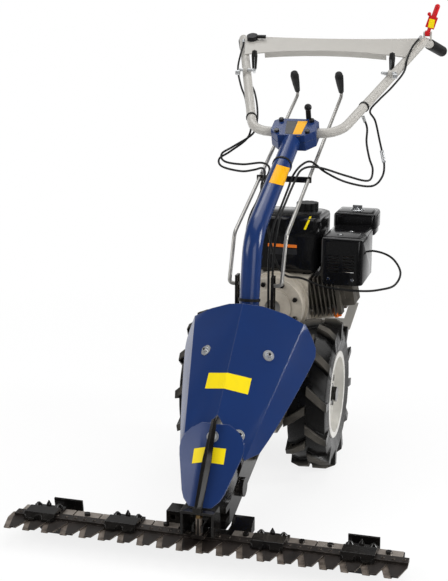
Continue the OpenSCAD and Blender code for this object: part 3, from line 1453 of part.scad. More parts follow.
// Selector lever on the gearbox: a slotted arm that the rod's hooked end moves
module selector() {
    x1 = rod_x - rod_hook;
    x0 = x1 - selector_t;
    difference() {
        union() {
            box([x0, selector_y - selector_w / 2, selector_z], [x1, selector_y + selector_w / 2,
                rod_low.z + selector_slot * 0.7]);
            bar_x(selector_w * 1.2, x0, x1, selector_y, selector_z);
        }
        box([x0 - overrun, selector_y - rod_d / 2 - slot_play, rod_low.z - selector_slot / 2],
            [x1 + overrun, selector_y + rod_d / 2 + slot_play, rod_low.z + selector_slot / 2]);
    }
    bar_x(selector_shaft_d, x0 - selector_post_w, x0, selector_y, selector_z);
}
module left_selector() color(black) mirror([1, 0, 0]) selector();
module right_selector() color(black) selector();

// Hand levers: a shaft across the arm, a cranked rod with a knob inside and a short crank outside

function lever_pivot() = arm(lever_s) + [0, 0, tube_d / 2 + lever_rod_d];
module hand_lever() {
    p = lever_pivot();
    x0 = p.x - lever_in;
    x1 = p.x + lever_out;
    eye = [x1, p.y - lever_crank * 0.7, p.z - lever_crank * 0.2];
    k = [x0 + lever_spread, p.y + lever_back, p.z + lever_up];
    sweep(bend_stations([eye, [x1, p.y, p.z], [x0, p.y, p.z], k, k + [0, 0, lever_knob_l * 0.4]],
        lever_rod_d * [0.7, 0.7, 0.7], bend_steps), lever_rod_d, rod_sides, lever_skew);
    bar_x(lever_rod_d * 1.7, x1 - lever_rod_d * 0.7, x1 + lever_rod_d * 0.7, eye.y, eye.z);
    translate(k + [0, 0, lever_rod_d]) rotate_extrude() polygon([[0, 0], [lever_knob_d * 0.36, 0],
        [lever_knob_d / 2, lever_knob_l * 0.7], [lever_knob_d * 0.4, lever_knob_l * 0.95], [0,
            lever_knob_l]]);
}
module left_hand_lever() color(zinc) mirror([1, 0, 0]) hand_lever();
module right_hand_lever() color(zinc) hand_lever();

// Red lever that swings down to the right grip
function safety_pivot() = upper_bend + [tube_d * 0.3, tube_d * 0.5, safety_rise];
module safety_lever() color(red) {
    p = safety_pivot();
    way = [sin(safety_lean), 0, cos(safety_lean)];
    difference() {
        union() {
            bar_x(lever_eye_d, p.x - lever_eye_w / 2, p.x + lever_eye_w / 2, p.y, p.z);
            link(p, p + way * safety_l * 0.4, safety_d * 0.7);
        }
        bar_x(lever_pin_d + 2 * run_fit, p.x - lever_eye_w, p.x + lever_eye_w, p.y, p.z);
    }
    stand(p, way) box([-safety_plate.x / 2, -safety_d / 2, safety_plate_z],
        [safety_plate.x / 2, safety_plate.y - safety_d / 2, safety_plate_z + safety_plate.z]);
    stand(p + way * safety_l * 0.3, way) cylinder(d = safety_d, h = safety_l * 0.7);
    stand(p + way * safety_l, way) sphere(d = safety_d);
    trigger = p + way * safety_l * 0.72 - [safety_d, safety_d * 0.4, 0];
    link(p + way * safety_l * 0.5, trigger, safety_d * 0.4);
    translate(trigger) sphere(d = safety_knob_d);
}

// Throttle: a round pod on the panel's left end with a short lever, turning square to the panel
panel_up = unit(cross([1, 0, 0], arm_way));
function throttle_place() = flip(arm(throttle_s)) + [throttle_in, 0, 0] + panel_up * (tube_d / 2 + panel_t);
module throttle_lever() color(black) stand(throttle_place() + panel_up * clear, panel_up) {
    difference() {
        cylinder(d = throttle_d, h = throttle_t);
        translate([0, 0, -overrun]) cylinder(d = lever_pin_d + 2 * run_fit, h = throttle_t * 0.8 + overrun);
    }
    box([-throttle_lever_w / 2, throttle_d * 0.4, throttle_t * 0.4], [throttle_lever_w / 2, throttle_l,
        throttle_t]);
}

// Cables and ties

module control_cables() color(black) {
    cable(left_route);
    cable(right_route);
    cable(safety_route);
}
module throttle_cable() color(black) cable(throttle_route);

module tie(p, way, d) stand(p - unit(way) * tie_w / 2, way) linear_extrude(tie_w) ring(d + 2 * tie_t, tie_t);
module cable_ties() color(black) {
    tie(mix(column_knee, column_top, guide_s * 0.92), column_way, column_d + clear);
    tie(mix(column_foot, column_knee, 0.5), column_lean, column_d + clear);
    tie(arm(0.27), arm_way, tube_d + clear);
    mirror([1, 0, 0]) tie(arm(0.13), arm_way, tube_d + clear);
}

module place() translate([0, -mid_y, 0]) children();

place() bar_back();
place() lower_knife();
place() upper_knife();
place() wear_plates();
place() hold_down_clips();
place() bar_bolts();
place() skids();
place() skid_bolts();
place() centre_bracket();
place() bar_saddle();
place() stalk_divider();
place() rocker_arm();
place() drive_case();
place() main_shield();
place() lower_shield();
place() shield_stays();
place() shield_bolts();
place() gearbox_housing();
place() bell_housing();
place() frame_bolts();
place() left_tyre();
place() left_rim();
place() left_hub();
place() right_tyre();
place() right_rim();
place() right_hub();
place() left_selector();
place() right_selector();
place() crankcase();
place() crankshaft();
place() cylinder_block();
place() blower_housing();
place() starter_cover();
place() starter_grip();
place() fuel_tank();
place() fuel_cap();
place() air_filter();
place() muffler();
place() muffler_guard();
place() carburettor();
place() oil_plug();
place() rear_frame();
place() column();
place() clamp_box();
place() clamp_lid();
place() clamp_lever();
place() handlebar();
place() cross_panel();
place() hand_grips();
place() left_rod();
place() left_rod_knob();
place() right_rod();
place() right_rod_knob();
place() left_hand_lever();
place() right_hand_lever();
place() safety_lever();
place() throttle_lever();
place() control_cables();
place() throttle_cable();
place() cable_ties();
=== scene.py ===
"""Looks of a walk-behind sickle bar mower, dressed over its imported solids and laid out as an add-on."""

import json
import math

import bmesh
import bpy
from mathutils import Euler, Matrix, Vector
from mathutils.bvhtree import BVHTree
from mathutils.kdtree import KDTree


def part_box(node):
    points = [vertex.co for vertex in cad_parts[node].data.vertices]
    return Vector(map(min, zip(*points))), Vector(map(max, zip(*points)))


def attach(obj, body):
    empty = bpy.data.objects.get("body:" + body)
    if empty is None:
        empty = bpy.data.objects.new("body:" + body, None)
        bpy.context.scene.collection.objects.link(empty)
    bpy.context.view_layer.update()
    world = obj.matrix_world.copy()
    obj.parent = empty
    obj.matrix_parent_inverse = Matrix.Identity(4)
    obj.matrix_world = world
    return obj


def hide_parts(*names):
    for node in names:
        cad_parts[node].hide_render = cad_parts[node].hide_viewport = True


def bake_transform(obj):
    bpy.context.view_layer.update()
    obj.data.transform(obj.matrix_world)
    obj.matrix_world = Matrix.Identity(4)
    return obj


bl_info = {
    "name": "Sickle Bar Mower Looks",
    "version": (1, 0, 0),
    "blender": (4, 5, 0),
    "location": "View3D > Sidebar > Mower",
    "description": "Finishes, cables, plates and small trim of a sickle bar mower",
    "category": "Object",
}

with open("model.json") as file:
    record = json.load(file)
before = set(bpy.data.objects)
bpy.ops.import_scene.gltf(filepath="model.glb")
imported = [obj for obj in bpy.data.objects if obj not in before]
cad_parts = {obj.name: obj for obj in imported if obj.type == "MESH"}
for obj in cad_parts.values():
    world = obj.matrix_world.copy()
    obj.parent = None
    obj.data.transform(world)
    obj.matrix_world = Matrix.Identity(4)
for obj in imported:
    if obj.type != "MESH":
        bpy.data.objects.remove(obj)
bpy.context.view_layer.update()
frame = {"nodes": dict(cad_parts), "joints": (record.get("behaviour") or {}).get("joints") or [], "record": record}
NODES = frame["nodes"]
JOINTS = {joint["name"]: joint for joint in frame["joints"]}
BODY_OF = {node: body for body, nodes in frame["record"]["behaviour"]["bodies"].items() for node in nodes}
SLOT_OF = {part["node"]: part["material_slot"] for part in frame["record"]["subparts"]}
MM = 0.001

# The machine's own places are measured in millimetres from the ground under its axle
AXLE_Y = JOINTS["left_wheel_roll"]["pos_m"][1]
AXLE_Z = JOINTS["left_wheel_roll"]["pos_m"][2]
IMAGE_W = 448
IMAGE_H = 581
SENSOR_MM = 36.0


def row(x, y, z):
    """A place in millimetres from the ground under the axle, as a point of the frame in metres."""
    return Vector((x * MM, y * MM + AXLE_Y, z * MM))


class MowerSizes(bpy.types.PropertyGroup):
    """Sizes of the trim that the solids leave out."""

    cable_d: bpy.props.FloatProperty(
        name="Cable", description="Outside diameter of a cable's sheath", default=6 * MM, unit="LENGTH")
    plate_t: bpy.props.FloatProperty(
        name="Plate", description="Thickness of a blank plate", default=0.5 * MM, unit="LENGTH")
    screw_d: bpy.props.FloatProperty(
        name="Screw", description="Diameter of a small screw's head", default=9 * MM, unit="LENGTH")
    bead_d: bpy.props.FloatProperty(
        name="Weld bead", description="Width of a weld seam", default=6 * MM, unit="LENGTH")
    rope_d: bpy.props.FloatProperty(
        name="Starter rope", description="Diameter of the starter's rope", default=4 * MM, unit="LENGTH")
    lens: bpy.props.FloatProperty(
        name="Lens", description="Focal length of the camera in millimetres", default=73.87)


def colour_property(name, description, value):
    """A colour that the panel shows, written as sRGB hex."""
    return bpy.props.StringProperty(name=name, description=description, default=value)


class MowerColours(bpy.types.PropertyGroup):
    """Colours of the finishes, as sRGB hex."""

    navy: colour_property("Navy", "Enamel of the shields, column and clamp", "#1c3467")
    pale: colour_property("Pale grey", "Enamel of the handlebar, its panel and the rear frame", "#b3b0aa")
    black: colour_property("Black", "Enamel of the cutter bar, hubs and brackets", "#111010")
    blade: colour_property("Blade", "Blued steel of the moving knife", "#1a1613")
    comb: colour_property("Comb", "Ground steel of the standing knife", "#8d8278")
    zinc: colour_property("Zinc", "Plating of bolts and levers", "#c3c5c6")
    alloy: colour_property("Alloy", "Cast housings of gearbox and engine", "#d2cabc")
    tyre: colour_property("Tyre", "Rubber of the tyres", "#0c0c0c")
    dust: colour_property("Dust", "Dry soil on the tyres", "#55514a")
    plastic: colour_property("Black plastic", "Engine covers, tank and filter", "#0d0d0e")
    rubber: colour_property("Rubber", "Grips, knobs and sheaths", "#141414")
    red: colour_property("Red", "Safety lever", "#c8121a")
    orange: colour_property("Orange", "Oil plug", "#f07a1c")
    yellow: colour_property("Yellow", "Blank plates", "#f7dc00")


def sizes():
    """The sizes that the panel shows."""
    return bpy.context.scene.mower_sizes


def linear(hex_colour):
    """An sRGB hex colour as linear red, green, blue and alpha."""
    levels = [int(hex_colour[i:i + 2], 16) / 255 for i in (1, 3, 5)]
    return [v / 12.92 if v <= 0.04045 else ((v + 0.055) / 1.055) ** 2.4 for v in levels] + [1.0]


def colour(name):
    """One of the colours that the panel shows, in linear values."""
    return linear(getattr(bpy.context.scene.mower_colours, name))


def per_mm(size):
    """Texture scale whose pattern repeats about every size millimetres."""
    return 1 / (size * MM)


def add(tree, kind, inputs=None, **settings):
    """A node with its settings, and its inputs set to a value or linked to another node's output."""
    made = tree.nodes.new(kind)
    for key, value in settings.items():
        setattr(made, key, value)
    for key, value in (inputs or {}).items():
        if isinstance(value, bpy.types.NodeSocket):
            tree.links.new(value, made.inputs[key])
        else:
            made.inputs[key].default_value = value
    return made


def ramp(tree, value, low, high, start=0.0, end=1.0):
    """A value between low and high, spread from start to end and held there beyond."""
    return add(tree, "ShaderNodeMapRange", {"Value": value, "From Min": low, "From Max": high, "To Min": start,
                                            "To Max": end}).outputs["Result"]


def maths(tree, operation, a, b):
    """Two values, taken together by an operation."""
    return add(tree, "ShaderNodeMath", {0: a, 1: b}, operation=operation).outputs["Value"]


def mix(tree, share, a, b, kind="FLOAT"):
    """From a to b by a share, as numbers or, with the kind RGBA, as colours."""
    return add(tree, "ShaderNodeMix", {"Factor": share, "A": a, "B": b}, data_type=kind).outputs["Result"]


# Begins the name of every finish, to keep it apart from the finishes that the solids bring with them
LOOK = "mower_"
COAT_ROUGHNESS = 0.08
# Of the patches' noise, the span over which the colour turns and that over which the gloss turns, and the agreement
# of the softened with the true direction at which an edge begins to be lightened and is fully lightened, as wear on
# some finishes and as a painted highlight on others
TINT_SPAN = (0.35, 0.68)
GLOSS_SPAN = (0.3, 0.7)
EDGE_WEAR_AND_HIGHLIGHT_SPAN = (0.98, 0.8)


def finish(name, base, mottle, patch_mm, rough, grain_mm, grain_depth_mm, metallic=0.0, coat=0.0,
           edge=None, stretch=(1, 1, 1), softness_mm=0.8, zone=None, specular=0.5):
    """A coated, cast or moulded surface: mottled colour, uneven gloss, fine grain, lighter edges and one more coat.

    edge is (colour, strength) for a lighter colour along sharp edges, which needs a softness and is wear on some
    finishes and a painted highlight on the navy enamel and the cooling fins, and zone makes the cover of one more
    coat, with that coat's colour and roughness.
    """
    made = bpy.data.materials.new(LOOK + name)
    made.use_nodes = True
    tree = made.node_tree
    shader = tree.nodes["Principled BSDF"]
    place = add(tree, "ShaderNodeTexCoord").outputs["Object"]
    turned = add(tree, "ShaderNodeMapping", {"Vector": place, "Scale": stretch}).outputs["Vector"]
    patches = add(tree, "ShaderNodeTexNoise", {"Vector": turned, "Scale": per_mm(patch_mm), "Detail": 5.0,
                                               "Roughness": 0.6}).outputs["Fac"]
    spread = ramp(tree, patches, *TINT_SPAN)
    paint = mix(tree, spread, base, mottle, "RGBA")
    roughness = ramp(tree, patches, *GLOSS_SPAN, *rough)
    relief = {}
    if softness_mm:
        rounded = add(tree, "ShaderNodeBevel", {"Radius": softness_mm * MM}, samples=4).outputs["Normal"]
        relief["Normal"] = rounded
    # Sharp edges get a lighter colour: wear on some finishes, a painted highlight on the navy enamel and the cooling
    # fins
    if edge:
        normal = add(tree, "ShaderNodeNewGeometry").outputs["Normal"]
        turn = add(tree, "ShaderNodeVectorMath", {0: rounded, 1: normal}, operation="DOT_PRODUCT")
        edge_wear_and_highlight = ramp(tree, turn.outputs["Value"], *EDGE_WEAR_AND_HIGHLIGHT_SPAN, 0.0, edge[1])
        paint = mix(tree, maths(tree, "MULTIPLY", edge_wear_and_highlight, spread), paint, edge[0], "RGBA")
    if zone:
        cover, tone, dulness = zone(tree, place)
        paint = mix(tree, cover, paint, tone, "RGBA")
        roughness = mix(tree, cover, roughness, dulness)
    grain = add(tree, "ShaderNodeTexNoise", {"Vector": turned, "Scale": per_mm(grain_mm), "Detail": 3.0})
    bump = add(tree, "ShaderNodeBump", {"Height": grain.outputs["Fac"], "Distance": grain_depth_mm * MM,
                                        "Strength": 1.0, **relief})
    tree.links.new(paint, shader.inputs["Base Color"])
    tree.links.new(roughness, shader.inputs["Roughness"])
    tree.links.new(bump.outputs["Normal"], shader.inputs["Normal"])
    shader.inputs["Metallic"].default_value = metallic
    shader.inputs["Specular IOR Level"].default_value = specular
    shader.inputs["Coat Weight"].default_value = coat
    shader.inputs["Coat Roughness"].default_value = COAT_ROUGHNESS
    return made


def shade(levels, factor):
    """A colour made darker or lighter, still in linear values."""
    return [min(1.0, v * factor) for v in levels[:3]] + [1.0]


def navy_enamel():
    # Stove enamel on sheet steel: deep gloss with a faint orange peel, and a pale blue-grey along its sharp edges as
    # a painted highlight
    return finish("navy_enamel", colour("navy"), shade(colour("navy"), 0.88), 160, (0.16, 0.24), 5, 0.012,
                  edge=(linear("#aab0be"), 0.6), softness_mm=3.0, specular=0.45)


def pale_enamel():
    # Powder coat on tube and sheet: even satin grey with a fine orange peel
    return finish("pale_enamel", colour("pale"), shade(colour("pale"), 0.93), 120, (0.34, 0.46), 6, 0.008,
                  coat=0.1, softness_mm=0)


def black_enamel():
    # Paint over forged and cut steel: gloss black with a soft ripple and rubbed edges
    return finish("black_enamel", colour("black"), linear("#1d1b19"), 45, (0.07, 0.18), 6, 0.05,
                  edge=(linear("#6a645d"), 0.6), softness_mm=1.2)


def blade_steel():
    # Blued tool steel: brown black, with drag marks across the cut and bright ground edges
    return finish("blade_steel", colour("blade"), linear("#2b2420"), 26, (0.4, 0.6), 5, 0.05,
                  edge=(linear("#b3a89d"), 0.9), stretch=(1, 0.4, 1), softness_mm=0.7, specular=0.3)


def comb_steel():
    # Ground tool steel of the standing knife: warm grey metal with brown patches
    return finish("comb_steel", colour("comb"), linear("#4f463f"), 24, (0.28, 0.42), 4, 0.06, metallic=0.4,
                  edge=(linear("#d6cdc2"), 1.0), specular=0.4)


def plate_steel():
    # Hardened strip rubbed by the knife: warm grey steel with dull scale
    return finish("plate_steel", linear("#b9b0a7"), linear("#8f857c"), 30, (0.25, 0.4), 4, 0.04, metallic=0.6,
                  edge=(linear("#d5ccc2"), 0.6))


def zinc_plate():
    # Bright zinc on turned and rolled steel: cool, even metal
    return finish("zinc_plate", colour("zinc"), linear("#c4c6c8"), 60, (0.22, 0.34), 8, 0.004, metallic=0.6)


def drawn_steel():
    # Cold drawn rod with a thin zinc wash: even grey metal, a little dull
    return finish("drawn_steel", linear("#bdbbb7"), linear("#a3a19d"), 80, (0.3, 0.4), 12, 0.002, metallic=0.75,
                  softness_mm=0)


def rim_lacquer():
    # Silver lacquer on a pressed wheel: pale metallic satin
    return finish("rim_lacquer", linear("#e4e2dc"), linear("#d2d0ca"), 60, (0.26, 0.4), 4, 0.01, metallic=0.35,
                  edge=(linear("#efefed"), 0.4))


def cast_alloy():
    # Die cast aluminium: light warm grey metal with a fine grain and darker oily patches
    return finish("cast_alloy", colour("alloy"), linear("#b3aa9c"), 55, (0.36, 0.52), 2.2, 0.05, metallic=0.12,
                  edge=(linear("#d0cdc8"), 0.6))


def fin_alloy():
    # Cast cooling fins: dull alloy made dark all over as painted shade between the fins, and pale edges as a painted
    # highlight
    return finish("fin_alloy", linear("#57524a"), linear("#3b3833"), 45, (0.4, 0.6), 2.2, 0.05, metallic=0.1,
                  edge=(linear("#cfc7ba"), 1.0), softness_mm=1.2, specular=0.3)


def hot_steel():
    # Bare pressed steel of the muffler: straw and blue heat colours under soot
    return finish("hot_steel", linear("#7b736a"), linear("#3d3b42"), 40, (0.4, 0.6), 3, 0.05, metallic=0.8)


# Distance from the axle, in millimetres, at which dry soil on the lugs begins and is full, the size of its clouds,
# the span of their noise, their thinnest and thickest cover, and the soil's roughness
LUG_FOOT, LUG_TOP = 188, 197
SOIL_CLOUD = 30
SOIL_SPAN = (0.3, 0.6)
SOIL_COVER = (0.45, 0.95)
SOIL_ROUGHNESS = 0.8


def lug_tops(tree, place):
    """Dry soil where the tyre's lugs stand out, by the distance from the axle."""
    spoke = add(tree, "ShaderNodeMapping", {"Vector": place, "Location": (0, -AXLE_Y, -AXLE_Z),
                                            "Scale": (0, 1, 1)}).outputs["Vector"]
    reach = add(tree, "ShaderNodeVectorMath", {0: spoke}, operation="LENGTH").outputs["Value"]
    top = ramp(tree, reach, LUG_FOOT * MM, LUG_TOP * MM)
    cloud = add(tree, "ShaderNodeTexNoise", {"Vector": place, "Scale": per_mm(SOIL_CLOUD), "Detail": 6.0})
    dry = ramp(tree, cloud.outputs["Fac"], *SOIL_SPAN, *SOIL_COVER)
    return maths(tree, "MULTIPLY", top, dry), colour("dust"), SOIL_ROUGHNESS


def tyre_rubber():
    # Vulcanised rubber: half gloss black with dry soil rubbed into the tops of the lugs
    return finish("tyre_rubber", colour("tyre"), linear("#151413"), 38, (0.22, 0.36), 5, 0.06,
                  edge=(linear("#3d3a36"), 0.5), softness_mm=2.0, zone=lug_tops, specular=0.3)


def gloss_black():
    # Painted sheet and blow moulded tank: deep gloss black with soft orange peel
    return finish("gloss_black", colour("plastic"), linear("#131314"), 90, (0.08, 0.15), 8, 0.012,
                  edge=(linear("#3c3c3e"), 0.4), softness_mm=2.0)


def matt_black():
    # Moulded and heat proof black: fine spark eroded grain
    return finish("matt_black", linear("#141415"), linear("#1f1f20"), 40, (0.36, 0.5), 1.5, 0.03,
                  edge=(linear("#4a4a4b"), 0.5), softness_mm=1.5, specular=0.3)


def soft_rubber():
    # Moulded rubber of grips, knobs and sheaths: dull black with a slight bloom
    return finish("soft_rubber", colour("rubber"), linear("#222222"), 25, (0.45, 0.62), 1.8, 0.04, specular=0.25)


def red_plastic():
    # Moulded nylon: bright red with a soft gloss
    return finish("red_plastic", colour("red"), shade(colour("red"), 0.88), 30, (0.3, 0.42), 4, 0.01, specular=0.3)


def orange_plastic():
    # Moulded nylon: orange with a soft gloss
    return finish("orange_plastic", colour("orange"), shade(colour("orange"), 0.85), 20, (0.32, 0.45), 2, 0.03)


def yellow_vinyl():
    # Self adhesive film, blank: flat even yellow with a faint lift in the gloss
    return finish("yellow_vinyl", colour("yellow"), shade(colour("yellow"), 0.93), 40, (0.3, 0.42), 12, 0.004,
                  specular=0.3)


def amber_vinyl():
    # Self adhesive film, blank: even amber with a faint lift in the gloss
    return finish("amber_vinyl", linear("#f3b000"), linear("#e7a600"), 40, (0.3, 0.42), 12, 0.004, specular=0.2)


def dark_vinyl():
    # Self adhesive film, blank and nearly black
    return finish("dark_vinyl", linear("#232325"), linear("#2d2d2f"), 40, (0.3, 0.42), 12, 0.004)


def rope_braid():
    # Braided nylon rope: off white with a fine twist
    return finish("rope_braid", linear("#b9b4a8"), linear("#8f8a80"), 4, (0.6, 0.8), 1.5, 0.3)


def bright_chrome():
    # Polished chrome on a spun cap and wing nut
    return finish("bright_chrome", linear("#d9dadb"), linear("#c4c6c8"), 30, (0.08, 0.16), 4, 0.01, metallic=1.0)


def brass():
    # Yellow passivated bolt head: warm brassy metal
    return finish("brass", linear("#a98a5c"), linear("#7d6443"), 12, (0.25, 0.4), 3, 0.02, metallic=0.9)


FINISHES = (navy_enamel, pale_enamel, black_enamel, blade_steel, comb_steel, plate_steel, zinc_plate, drawn_steel,
            rim_lacquer, brass, cast_alloy, fin_alloy, hot_steel, tyre_rubber, gloss_black, matt_black,
            soft_rubber, red_plastic, orange_plastic, yellow_vinyl, amber_vinyl, dark_vinyl, rope_braid,
            bright_chrome)


def material(name):
    """A finish by name, made the first time that it is asked for."""
    found = bpy.data.materials.get(LOOK + name)
    return found or next(make for make in FINISHES if make.__name__ == name)()


def mesh_of(bm, name):
    """A new mesh from an edit, which ends with it."""
    mesh = bpy.data.meshes.new(name)
    bm.to_mesh(mesh)
    bm.free()
    return mesh


def link(name, mesh, *names):
    """A new object with its place in its mesh, and its finishes."""
    for finish_name in names:
        mesh.materials.append(material(finish_name))
    made = bpy.data.objects.new(name, mesh)
    bpy.context.scene.collection.objects.link(made)
    return made


def settle(made, body, slot, *nodes):
    """Rides a piece on its body and, where it stands for solids, hides them."""
    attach(made, body)
    if nodes:
        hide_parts(*nodes)
    return made


# Corners of the handlebar's centre line, in millimetres from the ground under the axle, the radii of its bends and
# its diameter, and how finely the line is followed
HANDLE_PATH = ((-331, 1006, 1054), (-291, 836, 1092), (-124, 310, 855), (124, 310, 855), (291, 836, 1092),
               (331, 1006, 1054))
HANDLE_BENDS = (42, 70, 70, 42)
HANDLE_D = 27
HANDLE_STEP = 2.0 * MM
BEND_STEPS = 24
# A face is the tube's when it lies this near its surface and looks this straight away from the line
TUBE_SLACK = 1.2 * MM
TUBE_FACING = 0.9


def bent_line(path, radii):
    """Close points along a bent tube's centre line, each with its direction, in metres."""
    points = [row(*p) for p in path]
    ways = [(b - a).normalized() for a, b in zip(points, points[1:])]
    line = []
    at = points[0]
    for corner, before, after, radius in zip(points[1:-1], ways, ways[1:], radii):
        turn = before.angle(after)
        inward = (after - before * before.dot(after)).normalized()
        start = corner - before * radius * MM * math.tan(turn / 2)
        line += straight(at, start)
        hub = start + inward * radius * MM
        for k in range(1, BEND_STEPS + 1):
            g = turn * k / BEND_STEPS
            line.append((hub + (before * math.sin(g) - inward * math.cos(g)) * radius * MM,
                         before * math.cos(g) + inward * math.sin(g)))
        at = line[-1][0]
    return line + straight(at, points[-1])


def straight(start, end):
    """Close points from a start to an end, each with the direction there."""
    count = max(1, int((end - start).length / HANDLE_STEP))
    return [(start.lerp(end, k / count), (end - start).normalized()) for k in range(count + 1)]


def round_normals(mesh, line, radius):
    """Turns the normals of a tube's outer faces away from its centre line, so that its flats don't show."""
    tree = KDTree(len(line))
    for i, (point, _) in enumerate(line):
        tree.insert(point, i)
    tree.balance()
    normals = []
    for face in mesh.polygons:
        for i in face.vertices:
            corner = mesh.vertices[i].co
            point, nearest, _ = tree.find(corner)
            way = line[nearest][1]
            out = corner - point
            out -= way * out.dot(way)
            near = abs(out.length - radius) < TUBE_SLACK
            out.normalize()
            normals.append(out if near and out.dot(face.normal) > TUBE_FACING else face.normal)
    mesh.normals_split_custom_set(normals)


# Corners closer than this are one, and faces that meet flatter than this are one
SAME_PLACE = 0.004 * MM
SAME_FACE = math.radians(0.4)


def dress(node, finish_name, bevel_mm=0.0, smooth_deg=32, others=(), bevel_deg=38, core=None):
    """Shows a solid as a merged, smooth copy with broken edges, in one finish, and others where a test says so.

    others are pairs of a finish and a test of a face's centre and the face. core is the centre line and radius of a
    tube whose flats are not to show.
    """
    bm = bmesh.new()
    bm.from_mesh(NODES[node].data)
    bmesh.ops.remove_doubles(bm, verts=bm.verts, dist=SAME_PLACE)
    bmesh.ops.dissolve_limit(bm, angle_limit=SAME_FACE, verts=bm.verts, edges=bm.edges)
    for face in bm.faces:
        face.smooth = True
        centre = face.calc_center_median()
        face.material_index = next((i for i, (_, test) in enumerate(others, 1) if test(centre, face)), 0)
    for edge in bm.edges:
        edge.smooth = len(edge.link_faces) == 2 and edge.calc_face_angle() < math.radians(smooth_deg)
    mesh = mesh_of(bm, node + "_look")
    if core:
        round_normals(mesh, *core)
    made = link(node + "_look", mesh, finish_name, *(name for name, _ in others))
    if bevel_mm:
        bevel = made.modifiers.new("broken_edges", "BEVEL")
        bevel.width = bevel_mm * MM
        bevel.segments = 2
        bevel.limit_method = "ANGLE"
        bevel.angle_limit = math.radians(bevel_deg)
        bevel.harden_normals = True
    return settle(made, BODY_OF[node], SLOT_OF[node], node)


# Where a second finish begins: how far a tooth's flank turns aside, the column's guide by its height and reach, the
# drive pin's head by its height, the guard's bolts by their side, and the share of a hand lever that is sheathed
FLANK_TURN = 0.3
GUIDE_LOW, GUIDE_REACH = 500 * MM, 30 * MM
PIN_HEAD_LOW = 96 * MM
GUARD_BOLTS_FROM = 100 * MM
SHEATH_SHARE = 0.62


def painted_socket_shade(_, face):
    """True for the floor and walls of a bolt's socket, which meet nearly all their neighbours in hollows and are
    given black as painted shade.
    """
    return sum(not edge.is_convex for edge in face.edges) >= len(face.edges) - 1


def ground(_, face):
    """True for the flanks of the teeth, ground bright for the cut."""
    return abs(face.normal.x) > FLANK_TURN


def on_guide(centre, face):
    """True for the plate across the column that guides the rods, wider than the tube and well above its foot."""
    return centre.z > GUIDE_LOW and max(abs(v.co.x) for v in face.verts) > GUIDE_REACH


def dress_all(table):
    """Dresses each node of a table, whose rows say what dress is told."""
    for node, *rest in table:
        dress(node, *rest)


class MOWER_OT_cutter(bpy.types.Operator):
    """Finishes of the cutter bar, its knives, skids and brackets"""

    bl_idname = "mower.cutter"
    bl_label = "Cutter bar"

    def execute(self, context):
        dress_all((
            ("bar_back", "black_enamel", 0.8), ("lower_knife", "comb_steel", 0.4),
            ("upper_knife", "blade_steel", 0.4, 32,
             (("brass", lambda c, f: c.z > PIN_HEAD_LOW), ("comb_steel", ground))),
            ("wear_plates", "plate_steel", 0.5),
            ("hold_down_clips", "black_enamel", 1.2), ("bar_bolts", "black_enamel", 0.4),
            ("skids", "black_enamel", 0.8), ("skid_bolts", "zinc_plate", 0.4),
            ("centre_bracket", "black_enamel", 0.8), ("bar_saddle", "black_enamel", 0.8),
            ("stalk_divider", "black_enamel", 0.6), ("rocker_arm", "black_enamel", 0.6),
        ))
        return {"FINISHED"}


class MOWER_OT_chassis(bpy.types.Operator):
    """Finishes of the shields, drive case, gearbox and rear frame"""

    bl_idname = "mower.chassis"
    bl_label = "Chassis"

    def execute(self, context):
        dress_all((
            ("main_shield", "navy_enamel", 1.2, 40, (), 9), ("lower_shield", "navy_enamel", 0.8, 40, (), 9),
            # The shield bolts' sockets are matt black as painted shade in their hollows
            ("shield_stays", "black_enamel", 0.4), ("shield_bolts", "zinc_plate", 0.0, 32, (("matt_black", painted_socket_shade),)),
            ("drive_case", "black_enamel", 2.0), ("gearbox_housing", "cast_alloy", 1.5),
            ("bell_housing", "cast_alloy", 1.2),
            ("frame_bolts", "black_enamel", 0.4, 32, (("bright_chrome", lambda c, f: c.x > GUARD_BOLTS_FROM),)),
            ("rear_frame", "pale_enamel", 0.8),
            ("column", "navy_enamel", 0.5, 32, (("black_enamel", on_guide),)),
            ("clamp_box", "navy_enamel", 2.0), ("clamp_lid", "navy_enamel", 2.0),
            ("left_selector", "black_enamel", 0.6), ("right_selector", "black_enamel", 0.6),
        ))
        return {"FINISHED"}


class MOWER_OT_wheels(bpy.types.Operator):
    """Finishes of the tyres, rims and hubs"""

    bl_idname = "mower.wheels"
    bl_label = "Wheels"

    def execute(self, context):
        for side in ("left", "right"):
            dress(side + "_tyre", "tyre_rubber", 1.6, 36)
            dress(side + "_rim", "rim_lacquer", 0.8)
            dress(side + "_hub", "black_enamel", 0.6)
        return {"FINISHED"}


class MOWER_OT_engine(bpy.types.Operator):
    """Finishes of the engine, its covers, tank and filter"""

    bl_idname = "mower.engine"
    bl_label = "Engine"

    def execute(self, context):
        dress_all((
            # The cylinder block is dark all over as painted shade between its fins, with its edges lightened as a
            # painted highlight
            ("crankcase", "cast_alloy", 1.5), ("crankshaft", "zinc_plate"), ("cylinder_block", "fin_alloy", 0.4),
            ("blower_housing", "gloss_black", 1.0), ("starter_cover", "gloss_black", 0.8),
            ("starter_grip", "soft_rubber", 1.0), ("fuel_tank", "gloss_black", 1.0),
            ("fuel_cap", "matt_black", 0.8), ("muffler", "hot_steel", 1.0),
            ("muffler_guard", "gloss_black", 0.4), ("carburettor", "cast_alloy", 0.8),
            ("oil_plug", "orange_plastic", 0.5), ("air_filter", "gloss_black", 1.0),
        ))
        return {"FINISHED"}


